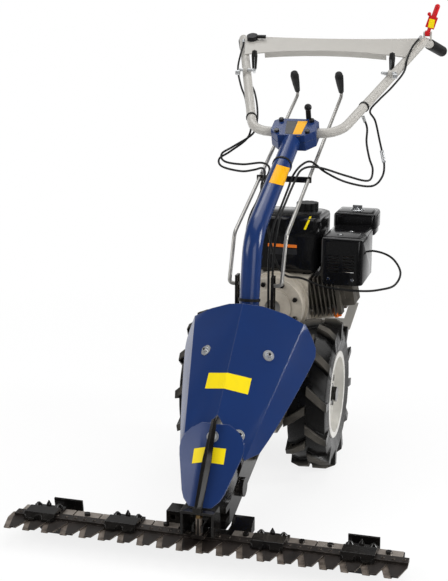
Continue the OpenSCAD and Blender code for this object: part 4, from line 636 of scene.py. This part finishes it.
class MOWER_OT_controls(bpy.types.Operator):
    """Finishes of the handlebar, rods, levers and grips"""

    bl_idname = "mower.controls"
    bl_label = "Controls"

    def execute(self, context):
        dress_all((
            ("cross_panel", "pale_enamel", 0.5, 20),
            ("hand_grips", "soft_rubber", 1.0), ("left_rod", "drawn_steel", 0.0, 50),
            ("right_rod", "drawn_steel", 0.0, 50), ("left_rod_knob", "soft_rubber", 0.6),
            ("right_rod_knob", "soft_rubber", 0.6), ("clamp_lever", "matt_black", 0.6),
            ("safety_lever", "red_plastic", 0.6), ("throttle_lever", "matt_black", 0.8),
            ("cable_ties", "soft_rubber", 0.2),
        ))
        dress("handlebar", "pale_enamel", core=(bent_line(HANDLE_PATH, HANDLE_BENDS), HANDLE_D * MM / 2))
        for side in ("left", "right"):
            node = side + "_hand_lever"
            low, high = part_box(node)
            neck = high.z - SHEATH_SHARE * (high.z - low.z)
            dress(node, "zinc_plate", 0.3, 50, (("soft_rubber", lambda c, f, z=neck: c.z > z),))
        return {"FINISHED"}


# Routes of the four cables, in millimetres from the ground under the axle
LEFT_ROUTE = (
    (-200, 588, 960), (-178, 540, 946), (-152, 470, 912), (-134, 400, 876), (-134, 350, 842), (-182, 310, 808),
    (-208, 285, 790), (-192, 258, 772), (-132, 230, 770), (-70, 205, 780), (-40, 168, 770), (-37, 100, 744),
    (-36, 20, 708), (-38, -60, 672), (-38, -105, 600), (-36, -114, 510), (-34, -100, 420), (-32, -88, 327.7))
RIGHT_ROUTE = (
    (168, 446, 892), (184, 426, 862), (186, 412, 822), (198, 395, 780), (212, 376, 748), (204, 346, 722),
    (150, 290, 742), (98, 240, 766), (66, 204, 775), (46, 168, 768), (44, 100, 746), (42, 20, 712),
    (42, -60, 676), (40, -105, 604), (38, -114, 510), (36, -100, 420), (34, -88, 327.7))
SAFETY_ROUTE = (
    (283, 812, 1106), (266, 748, 1078), (258, 694, 1044), (254, 657, 1007), (226, 601, 964), (200, 535, 933),
    (184, 472, 906), (204, 446, 880), (222, 426, 824), (240, 402, 766), (238, 380, 728), (212, 350, 706),
    (150, 292, 724), (98, 250, 756), (66, 212, 788), (44, 180, 780), (30, 144, 756), (28, 100, 730),
    (26, 20, 690), (26, -60, 654), (24, -92, 590), (22, -88, 500), (20, -76, 410), (18, -66, 327.7))
THROTTLE_ROUTE = (
    (-276, 780, 1088.5), (-268, 748, 1074.5), (-264, 706, 1054), (-262, 660, 1006), (-236, 600, 958),
    (-204, 530, 928), (-176, 450, 896), (-150, 392, 862), (-150, 346, 828), (-190, 308, 794), (-214, 280, 776),
    (-198, 252, 758), (-134, 220, 752), (-92, 204, 760), (-66, 188, 768), (-50, 156, 760), (-46, 100, 730),
    (-20, 30, 688), (4, -20, 636), (24, -22, 560), (42, 22, 510), (72, 92, 488), (124, 108, 466),
    (180, 110, 460), (238, 113, 459), (278, 132, 461), (312, 174, 466), (320, 230, 490), (288, 288, 516),
    (236, 328, 524), (172, 334, 520))
STEPS_PER_POINT = 6
CABLES = (("left_cable", LEFT_ROUTE, "control_cables"), ("right_cable", RIGHT_ROUTE, "control_cables"),
          ("safety_cable", SAFETY_ROUTE, "control_cables"), ("throttle_line", THROTTLE_ROUTE, "throttle_cable"))


def smooth_route(route):
    """Points along a smooth curve through a route, in metres."""
    points = [row(*p) for p in route]
    last = len(points) - 1
    curve = []
    for i in range(last):
        a, b, c, d = (points[max(i - 1, 0)], points[i], points[i + 1], points[min(i + 2, last)])
        for s in range(STEPS_PER_POINT):
            t = s / STEPS_PER_POINT
            curve.append(0.5 * (2 * b + (c - a) * t + (2 * a - 5 * b + 4 * c - d) * t * t
                                + (3 * b - a - 3 * c + d) * t ** 3))
    return curve + [points[last]]


def cable(name, route, node):
    """A sheathed cable along its route."""
    points = smooth_route(route)
    line = bpy.data.curves.new(name, "CURVE")
    line.dimensions = "3D"
    line.bevel_depth = sizes().cable_d / 2
    line.bevel_resolution = 4
    line.use_fill_caps = True
    spline = line.splines.new("POLY")
    spline.points.add(len(points) - 1)
    for place, point in zip(spline.points, points):
        place.co = (*point, 1.0)
    spline.use_smooth = True
    line.materials.append(material("soft_rubber"))
    made = bpy.data.objects.new(name, line)
    bpy.context.scene.collection.objects.link(made)
    settle(made, "chassis", "soft_rubber", node)
    run = sum((b - a).length for a, b in zip(points, points[1:]))
    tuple(points[0])


class MOWER_OT_cables(bpy.types.Operator):
    """Sheathed cables of the hand levers, the safety lever and the throttle"""

    bl_idname = "mower.cables"
    bl_label = "Cables"

    def execute(self, context):
        for name, route, node in CABLES:
            cable(name, route, node)
        return {"FINISHED"}


# Pitch of a weld seam's drops as a share of its width, and how they are squashed along it
BEAD_PITCH = 0.4
BEAD_SHAPE = (0.55, 1, 1)


def node_tree(name, lengths):
    """A geometry node tree with a base, some lengths and a finish as inputs: the tree and its inputs."""
    tree = bpy.data.node_groups.new(name, "GeometryNodeTree")
    tree.interface.new_socket("Geometry", in_out="INPUT", socket_type="NodeSocketGeometry")
    for length in lengths:
        tree.interface.new_socket(length, in_out="INPUT", socket_type="NodeSocketFloat")
    tree.interface.new_socket("Finish", in_out="INPUT", socket_type="NodeSocketMaterial")
    tree.interface.new_socket("Geometry", in_out="OUTPUT", socket_type="NodeSocketGeometry")
    return tree, add(tree, "NodeGroupInput").outputs


def finish_tree(tree, given, points, rotation, instance, scale=(1, 1, 1)):
    """Stands an instance on each point, turns all of them to one mesh and gives it the finish."""
    put = add(tree, "GeometryNodeInstanceOnPoints", {"Points": points, "Instance": instance,
                                                     "Rotation": rotation, "Scale": scale})
    real = add(tree, "GeometryNodeRealizeInstances", {"Geometry": put.outputs["Instances"]})
    done = add(tree, "GeometryNodeSetMaterial", {"Geometry": real.outputs["Geometry"],
                                                 "Material": given["Finish"]})
    add(tree, "NodeGroupOutput", {"Geometry": done.outputs["Geometry"]})
    return tree


def stud_tree():
    """Turned heads, one on each point of the base, along the point's own direction."""
    tree, given = node_tree("studs", ("Foot", "Top", "Height"))
    head = add(tree, "GeometryNodeMeshCone", {"Vertices": 24, "Radius Bottom": given["Foot"],
                                              "Radius Top": given["Top"], "Depth": given["Height"]})
    way = add(tree, "GeometryNodeInputNamedAttribute", {"Name": "way"}, data_type="FLOAT_VECTOR")
    turn = add(tree, "FunctionNodeAlignRotationToVector", {"Vector": way.outputs["Attribute"]}, axis="Z")
    return finish_tree(tree, given, given["Geometry"], turn.outputs["Rotation"], head.outputs["Mesh"])


def bead_tree():
    """A weld seam: overlapping drops along the edges of the base."""
    tree, given = node_tree("weld_seam", ("Radius", "Pitch"))
    line = add(tree, "GeometryNodeMeshToCurve", {"Mesh": given["Geometry"]})
    steps = add(tree, "GeometryNodeResampleCurve", {"Curve": line.outputs["Curve"], "Length": given["Pitch"]},
                mode="LENGTH")
    drop = add(tree, "GeometryNodeMeshUVSphere", {"Segments": 10, "Rings": 6, "Radius": given["Radius"]})
    smooth = add(tree, "GeometryNodeSetShadeSmooth", {"Geometry": drop.outputs["Mesh"]})
    turn = add(tree, "FunctionNodeAlignRotationToVector",
               {"Vector": add(tree, "GeometryNodeInputTangent").outputs["Tangent"]}, axis="X")
    return finish_tree(tree, given, steps.outputs["Curve"], turn.outputs["Rotation"],
                       smooth.outputs["Geometry"], BEAD_SHAPE)


def through(tree, name, base, lengths, finish_name, body, slot):
    """The plain mesh that a node tree makes from a base, as a piece of its body."""
    maker = link(name, base)
    modifier = maker.modifiers.new("nodes", "NODES")
    modifier.node_group = tree
    values = {**lengths, "Finish": material(finish_name)}
    for socket in tree.interface.items_tree:
        if socket.in_out == "INPUT" and socket.name in values:
            modifier[socket.identifier] = values[socket.name]
    made = bpy.data.meshes.new_from_object(maker.evaluated_get(bpy.context.evaluated_depsgraph_get()))
    bpy.data.objects.remove(maker)
    made.name = name
    settle(link(name, made), body, slot)


def studs(name, places, foot_mm, top_mm, height_mm, finish_name, body, slot):
    """Turned heads at places, each a point in millimetres and the direction that it stands along."""
    base = bpy.data.meshes.new(name + "_base")
    base.from_pydata([row(*place) for place, _ in places], [], [])
    ways = base.attributes.new("way", "FLOAT_VECTOR", "POINT")
    for item, (_, way) in zip(ways.data, places):
        item.vector = way
    tree = bpy.data.node_groups.get("studs") or stud_tree()
    through(tree, name, base, {"Foot": foot_mm * MM / 2, "Top": top_mm * MM / 2, "Height": height_mm * MM},
            finish_name, body, slot)


def seam(name, line, finish_name, body, slot):
    """A weld seam along a line of places in millimetres."""
    base = bpy.data.meshes.new(name + "_base")
    base.from_pydata([row(*place) for place in line], [(i, i + 1) for i in range(len(line) - 1)], [])
    tree = bpy.data.node_groups.get("weld_seam") or bead_tree()
    width = sizes().bead_d
    through(tree, name, base, {"Radius": width / 2, "Pitch": width * BEAD_PITCH}, finish_name, body, slot)


def ring(x, y, z, radius, count=40):
    """Places round a level circle, closed, in millimetres."""
    return [(x + radius * math.cos(2 * math.pi * i / count), y + radius * math.sin(2 * math.pi * i / count), z)
            for i in range(count + 1)]


def cable_end(route, last=False):
    """The place and direction of a ferrule on a cable's first or last stretch."""
    a, b = (Vector(p) for p in ((route[-1], route[-2]) if last else route[:2]))
    return tuple(a), (b - a).normalized()


def box_mm(node):
    """A solid's low and high corners, in millimetres from the ground under the axle."""
    return (corner / MM - Vector((0, AXLE_Y / MM, 0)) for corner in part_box(node))


# Trim in millimetres: places on the guard's top from its left front corner, the starter's screws by angle and circle,
# the adjuster's stretch of the safety cable and share of it, the seam round the column by its place, its height over
# the column's end and its radius, and turned parts by their diameter at the foot, at the top and their height, where
# SHAPE means that both diameters are shares of a screw's
GUARD_SPOTS = ((48, 40), (70, 92))
GUARD_SINK = 0.2
DIMPLE_SHAPE = (2.2, 1.9, 0.5)
GUARD_SCREW_SHAPE = (1.1, 0.8, 2.4)
STARTER_SCREW_SHAPE = (1.0, 0.8, 6.0)
STARTER_SCREWS = (20, 92, 164, 236, 308)
STARTER_CIRCLE = 84
ADJUSTER_AT, ADJUSTER_SHARE = 8, 0.42
COLUMN_Y = -225
SEAM_UP = 13
SEAM_R = 31.5
DISH = (44, 40, 1.6)
FERRULE = (9.5, 8.5, 20)
ADJUSTER = (11, 11, 36)
# The rope at rest, in metres and counts: how far it begins before the grip's back, its length, rings and sides
ROPE_BEFORE, ROPE_LENGTH = 12 * MM, 20 * MM
ROPE_RINGS, ROPE_SIDES = 24, 12


def screw(shape):
    """A screw's diameters at the foot and the top and its height, in millimetres."""
    width = sizes().screw_d / MM
    return width * shape[0], width * shape[1], shape[2]


class MOWER_OT_trim(bpy.types.Operator):
    """Small screws, the filter's dish, cable ferrules, a weld seam and the starter's rope"""

    bl_idname = "mower.trim"
    bl_label = "Trim"

    def execute(self, context):
        up = (0, 0, 1)
        back = (0, 1, 0)
        low, high = box_mm("muffler_guard")
        spots = [((low.x + x, low.y + y, high.z - GUARD_SINK), up) for x, y in GUARD_SPOTS]
        studs("guard_dimples", spots, *screw(DIMPLE_SHAPE), "matt_black", "chassis", "black_plastic")
        studs("guard_screws", spots, *screw(GUARD_SCREW_SHAPE), "zinc_plate", "chassis", "zinc_steel")
        low, high = box_mm("air_filter")
        studs("filter_dish", [(((low.x + high.x) / 2, (low.y + high.y) / 2, high.z), up)], *DISH, "bright_chrome",
              "chassis", "zinc_steel")
        low, high = box_mm("starter_cover")
        turns = [math.radians(angle) for angle in STARTER_SCREWS]
        spots = [(((low.x + high.x) / 2 + STARTER_CIRCLE * math.cos(turn), low.y,
                   (low.z + high.z) / 2 + STARTER_CIRCLE * math.sin(turn)), back) for turn in turns]
        studs("starter_screws", spots, *screw(STARTER_SCREW_SHAPE), "zinc_plate", "chassis", "zinc_steel")
        ends = [cable_end(route) for _, route, _ in CABLES] + [cable_end(THROTTLE_ROUTE, True)]
        studs("cable_ferrules", ends, *FERRULE, "zinc_plate", "chassis", "zinc_steel")
        upper, lower = (Vector(SAFETY_ROUTE[ADJUSTER_AT + i]) for i in (0, 1))
        studs("cable_adjuster", [(tuple(upper.lerp(lower, ADJUSTER_SHARE)), lower - upper)], *ADJUSTER,
              "zinc_plate", "chassis", "zinc_steel")
        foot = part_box("column")[0].z / MM + SEAM_UP
        seam("column_seam", ring(0, COLUMN_Y, foot, SEAM_R), "navy_enamel", "chassis", "navy_paint")
        self.rope()
        return {"FINISHED"}

    def rope(self):
        """The starter's rope, drawn out of its cover by the grip."""
        low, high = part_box("starter_grip")
        line = [Vector(((low.x + high.x) / 2, low.y - ROPE_BEFORE + ROPE_LENGTH * i / ROPE_RINGS,
                        (low.z + high.z) / 2)) for i in range(ROPE_RINGS + 1)]
        bm = bmesh.new()
        rings = [[bm.verts.new(p + Vector((math.cos(a), 0, math.sin(a))) * sizes().rope_d / 2)
                  for a in (2 * math.pi * k / ROPE_SIDES for k in range(ROPE_SIDES))] for p in line]
        for a, b in zip(rings, rings[1:]):
            for k in range(ROPE_SIDES):
                bm.faces.new((a[k], a[k - 1], b[k - 1], b[k])).smooth = True
        bm.faces.new(rings[0])
        bm.faces.new(rings[-1][::-1])
        bmesh.ops.recalc_face_normals(bm, faces=bm.faces)
        made = link("starter_rope", mesh_of(bm, "starter_rope"), "rope_braid")
        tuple(line[2])
        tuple(line[-3])
        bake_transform(made)


# The photograph's camera: its place in millimetres from the ground under the axle, and its angles
CAMERA_PLACE = (705.3, -2983.7, 1237.0)
CAMERA_AZIMUTH = math.radians(15.472)
CAMERA_ELEVATION = math.radians(14.053)
CAMERA_ROLL = math.radians(0.297)


def camera_turn():
    """The camera's rotation: level, then tipped, turned and rolled as in the photograph."""
    aim = Euler((math.pi / 2 - CAMERA_ELEVATION, 0, CAMERA_AZIMUTH)).to_matrix()
    return aim @ Matrix.Rotation(CAMERA_ROLL, 3, "Z")


def seen_on(tree, px, py):
    """Where the photograph's pixel falls on a solid: its point and outward direction."""
    focal = sizes().lens / SENSOR_MM * IMAGE_H
    way = camera_turn() @ Vector((px - IMAGE_W / 2, IMAGE_H / 2 - py, -focal)).normalized()
    start = row(*CAMERA_PLACE)
    point, normal, _, _ = tree.ray_cast(start, way)
    if point is None:
        raise RuntimeError(f"pixel {px}, {py} misses the solid")
    return point, normal if normal.dot(way) < 0 else -normal


def along(line, share):
    """The pixel at a share of the way along a line of pixels, corner by corner."""
    at = share * (len(line) - 1)
    i = min(int(at), len(line) - 2)
    return Vector(line[i]).lerp(Vector(line[i + 1]), at - i)


# How deep a plate's back lies in its solid, as a share of the plate's thickness
PLATE_SINK = 0.1


def plate(name, node, top, low, finish_name, across=16, down=6):
    """A thin blank plate on a solid, between two lines of the photograph's pixels, following folds and curves."""
    solid = NODES[node].data
    tree = BVHTree.FromPolygons([v.co for v in solid.vertices], [f.vertices for f in solid.polygons])
    bm = bmesh.new()
    hits = [[seen_on(tree, *along(top, i / across).lerp(along(low, i / across), j / down))
             for i in range(across + 1)] for j in range(down + 1)]
    outer, inner = ([[bm.verts.new(point + normal * lift) for point, normal in line] for line in hits]
                    for lift in (sizes().plate_t, -PLATE_SINK * sizes().plate_t))
    for j in range(down):
        for i in range(across):
            bm.faces.new((outer[j][i], outer[j + 1][i], outer[j + 1][i + 1], outer[j][i + 1]))
            bm.faces.new((inner[j][i], inner[j][i + 1], inner[j + 1][i + 1], inner[j + 1][i]))
    rim = ([(0, i) for i in range(across)] + [(j, across) for j in range(down)]
           + [(down, i) for i in range(across, 0, -1)] + [(j, 0) for j in range(down, 0, -1)])
    for (j, i), (n, m) in zip(rim, rim[1:] + rim[:1]):
        bm.faces.new((outer[j][i], outer[n][m], inner[n][m], inner[j][i]))
    bmesh.ops.recalc_face_normals(bm, faces=bm.faces)
    settle(link(name, mesh_of(bm, name), finish_name), BODY_OF[node], SLOT_OF[node])


# Each plate's name and solid, its upper and lower edge as pixels of the photograph from left to right, its finish
# and, where folds need more, the number of its faces across
PLATES = (
    ("shield_plate", "main_shield", ((208.9, 372.9), (228, 372.9), (251.6, 378.6)),
     ((205.1, 388.5), (223.6, 388.5), (247.8, 394.6)), "yellow_vinyl", 48),
    ("low_plate", "lower_shield", ((194.2, 448.6), (207, 446.8), (226.1, 448.8)),
     ((191.9, 463.5), (204, 462), (223.6, 464.7)), "yellow_vinyl", 48),
    ("column_plate", "column", ((276.8, 164.4), (289.8, 168)), ((269, 182.4), (283.6, 185.8)), "amber_vinyl"),
    ("clamp_plate", "clamp_lid", ((298, 121.3), (307.6, 121.3)), ((291.6, 136.6), (300, 136.6)), "amber_vinyl"),
    ("clamp_film", "clamp_lid", ((287, 121), (297.6, 121.3)), ((284.4, 136), (291.2, 136.6)), "dark_vinyl"),
    ("safety_plate", "safety_lever", ((429.6, 18.6), (435.2, 19.9)), ((427.8, 27.2), (433.4, 28.5)),
     "yellow_vinyl"),
    ("tank_strip", "fuel_tank", ((268, 243), (296.8, 245)), ((267.8, 246.2), (296.8, 248)), "orange_plastic"),
    ("tank_film", "fuel_tank", ((268.6, 247.4), (296.8, 249.2)), ((269.2, 254), (297, 254.6)), "dark_vinyl"),
    ("tank_top_strip", "fuel_tank", ((309.6, 216.4), (311.6, 216.6)), ((303.6, 229.4), (305.8, 229.8)),
     "yellow_vinyl"),
)


class MOWER_OT_plates(bpy.types.Operator):
    """Blank yellow plates and films where the machine carries its labels"""

    bl_idname = "mower.plates"
    bl_label = "Blank plates"

    def execute(self, context):
        for entry in PLATES:
            plate(*entry)
        return {"FINISHED"}


# The floor's half width, and the lamps by name, place, width and power, all aimed at one height over the middle
FLOOR_REACH = 30.0
LAMPS = (("key", (-3.2, -2.6, 2.9), 2.4, 72), ("fill", (2.6, -3.2, 2.0), 2.4, 40),
         ("top", (0.2, 0.6, 4.2), 3.0, 56), ("back", (-1.6, 2.2, 4.6), 1.6, 26),
         ("edge", (2.9, 0.45, 1.75), 0.9, 40))
LAMP_AIM = Vector((0, 0, 0.5))
# Light of the surroundings on the machine, how dim they and the sky are in reflections, and how much of the floor's
# white hides the shadow, by the distance from the middle
SOFT_LIGHT = 0.42
DIM = 0.15
DIM_SKY = 0.1
SHADOW_SPAN = (0.8, 2.0)
SHADOW_COVER = (0.82, 1.0)


class MOWER_OT_stage(bpy.types.Operator):
    """Pale floor, soft studio lamps, white surroundings and the photograph's camera"""

    bl_idname = "mower.stage"
    bl_label = "Stage"

    def execute(self, context):
        scene = context.scene
        scene.view_settings.view_transform = "Standard"
        mesh = bpy.data.meshes.new("floor")
        corners = ((-1, -1, 0), (1, -1, 0), (1, 1, 0), (-1, 1, 0))
        mesh.from_pydata([Vector(corner) * FLOOR_REACH for corner in corners], [], [(0, 1, 2, 3)])
        floor = bpy.data.objects.new("floor", mesh)
        scene.collection.objects.link(floor)
        mesh.materials.append(self.floor_paint())
        self.surroundings(scene)
        for name, place, width, watts in LAMPS:
            data = bpy.data.lights.new(name, "AREA")
            data.size = width
            data.energy = watts
            lamp = bpy.data.objects.new(name, data)
            lamp.location = place
            lamp.rotation_euler = (LAMP_AIM - Vector(place)).to_track_quat("-Z", "Y").to_euler()
            scene.collection.objects.link(lamp)
        view = bpy.data.cameras.new("photo_view")
        view.lens = sizes().lens
        view.sensor_width = SENSOR_MM
        camera = bpy.data.objects.new("photo_view", view)
        camera.location = row(*CAMERA_PLACE)
        camera.rotation_euler = camera_turn().to_euler()
        scene.collection.objects.link(camera)
        scene.camera = camera
        return {"FINISHED"}

    def floor_paint(self):
        """White studio floor that stays white to the eye and still takes the machine's shadow."""
        made = bpy.data.materials.new("studio_floor")
        made.use_nodes = True
        tree = made.node_tree
        tree.nodes.remove(tree.nodes["Principled BSDF"])
        seen = add(tree, "ShaderNodeLightPath").outputs
        either = maths(tree, "MAXIMUM", seen["Is Camera Ray"], seen["Is Glossy Ray"])
        any_ray = maths(tree, "MAXIMUM", either, seen["Is Transmission Ray"])
        place = add(tree, "ShaderNodeTexCoord").outputs["Object"]
        reach = add(tree, "ShaderNodeVectorMath", {0: place}, operation="LENGTH").outputs["Value"]
        share = maths(tree, "MULTIPLY", any_ray, ramp(tree, reach, *SHADOW_SPAN, *SHADOW_COVER))
        chalk = add(tree, "ShaderNodeBsdfDiffuse", {"Color": linear("#fafafa")})
        # In reflections the floor is dim before the machine and to its right, as the room is
        spot = add(tree, "ShaderNodeSeparateXYZ", {0: place}).outputs
        ahead = ramp(tree, spot["Y"], -0.6, 0.0, DIM, 1.0)
        right = ramp(tree, spot["X"], 0.2, 1.0, 1.0, DIM)
        level = mix(tree, seen["Is Glossy Ray"], 1.0, maths(tree, "MULTIPLY", ahead, right))
        glow = add(tree, "ShaderNodeEmission", {"Color": (1, 1, 1, 1), "Strength": level})
        mixed = add(tree, "ShaderNodeMixShader", {0: share, 1: chalk.outputs["BSDF"], 2: glow.outputs["Emission"]})
        tree.links.new(mixed.outputs["Shader"], tree.nodes["Material Output"].inputs["Surface"])
        return made

    def surroundings(self, scene):
        """White to the eye, a dim room with a white wall in reflections, and an even soft light on the machine."""
        world = bpy.data.worlds.new("studio")
        scene.world = world
        world.use_nodes = True
        tree = world.node_tree
        seen = add(tree, "ShaderNodeLightPath").outputs
        way = add(tree, "ShaderNodeTexCoord").outputs["Generated"]
        towards = add(tree, "ShaderNodeSeparateXYZ", {0: way}).outputs
        # Surfaces that face the front, the right or the sky mirror a dim room, and grazing ones the white wall behind
        behind = ramp(tree, towards["Y"], 0.1, 0.8, DIM, 1.0)
        low = ramp(tree, towards["Z"], 0.04, 0.5, 1.0, DIM_SKY)
        right = ramp(tree, towards["X"], 0.2, 0.8, 1.0, DIM)
        mirrored = maths(tree, "MULTIPLY", maths(tree, "MULTIPLY", behind, low), right)
        soft = mix(tree, seen["Is Glossy Ray"], SOFT_LIGHT, mirrored)
        level = mix(tree, seen["Is Camera Ray"], soft, 1.0)
        white = add(tree, "ShaderNodeBackground", {"Color": (1, 1, 1, 1), "Strength": level})
        tree.links.new(white.outputs["Background"], tree.nodes["World Output"].inputs["Surface"])


class MOWER_PT_panel(bpy.types.Panel):
    """Lists the mower's sizes, colours and operators"""

    bl_idname = "MOWER_PT_panel"
    bl_label = "Sickle bar mower"
    bl_space_type = "VIEW_3D"
    bl_region_type = "UI"
    bl_category = "Mower"

    def draw(self, context):
        for group in (context.scene.mower_sizes, context.scene.mower_colours):
            for name in group.__annotations__:
                self.layout.prop(group, name)
        for operator in OPERATORS:
            self.layout.operator(operator.bl_idname)


OPERATORS = (MOWER_OT_stage, MOWER_OT_cables, MOWER_OT_cutter, MOWER_OT_chassis, MOWER_OT_wheels,
             MOWER_OT_engine, MOWER_OT_controls, MOWER_OT_plates, MOWER_OT_trim)
CLASSES = (MowerSizes, MowerColours, *OPERATORS, MOWER_PT_panel)


def register():
    for cls in CLASSES:
        bpy.utils.register_class(cls)
    bpy.types.Scene.mower_sizes = bpy.props.PointerProperty(type=MowerSizes)
    bpy.types.Scene.mower_colours = bpy.props.PointerProperty(type=MowerColours)


def unregister():
    del bpy.types.Scene.mower_colours
    del bpy.types.Scene.mower_sizes
    for cls in reversed(CLASSES):
        bpy.utils.unregister_class(cls)


def main():
    register()
    bpy.ops.mower.stage()
    bpy.ops.mower.cables()
    bpy.ops.mower.cutter()
    bpy.ops.mower.chassis()
    bpy.ops.mower.wheels()
    bpy.ops.mower.engine()
    bpy.ops.mower.controls()
    bpy.ops.mower.plates()
    bpy.ops.mower.trim()


if __name__ == "__main__":
    main()
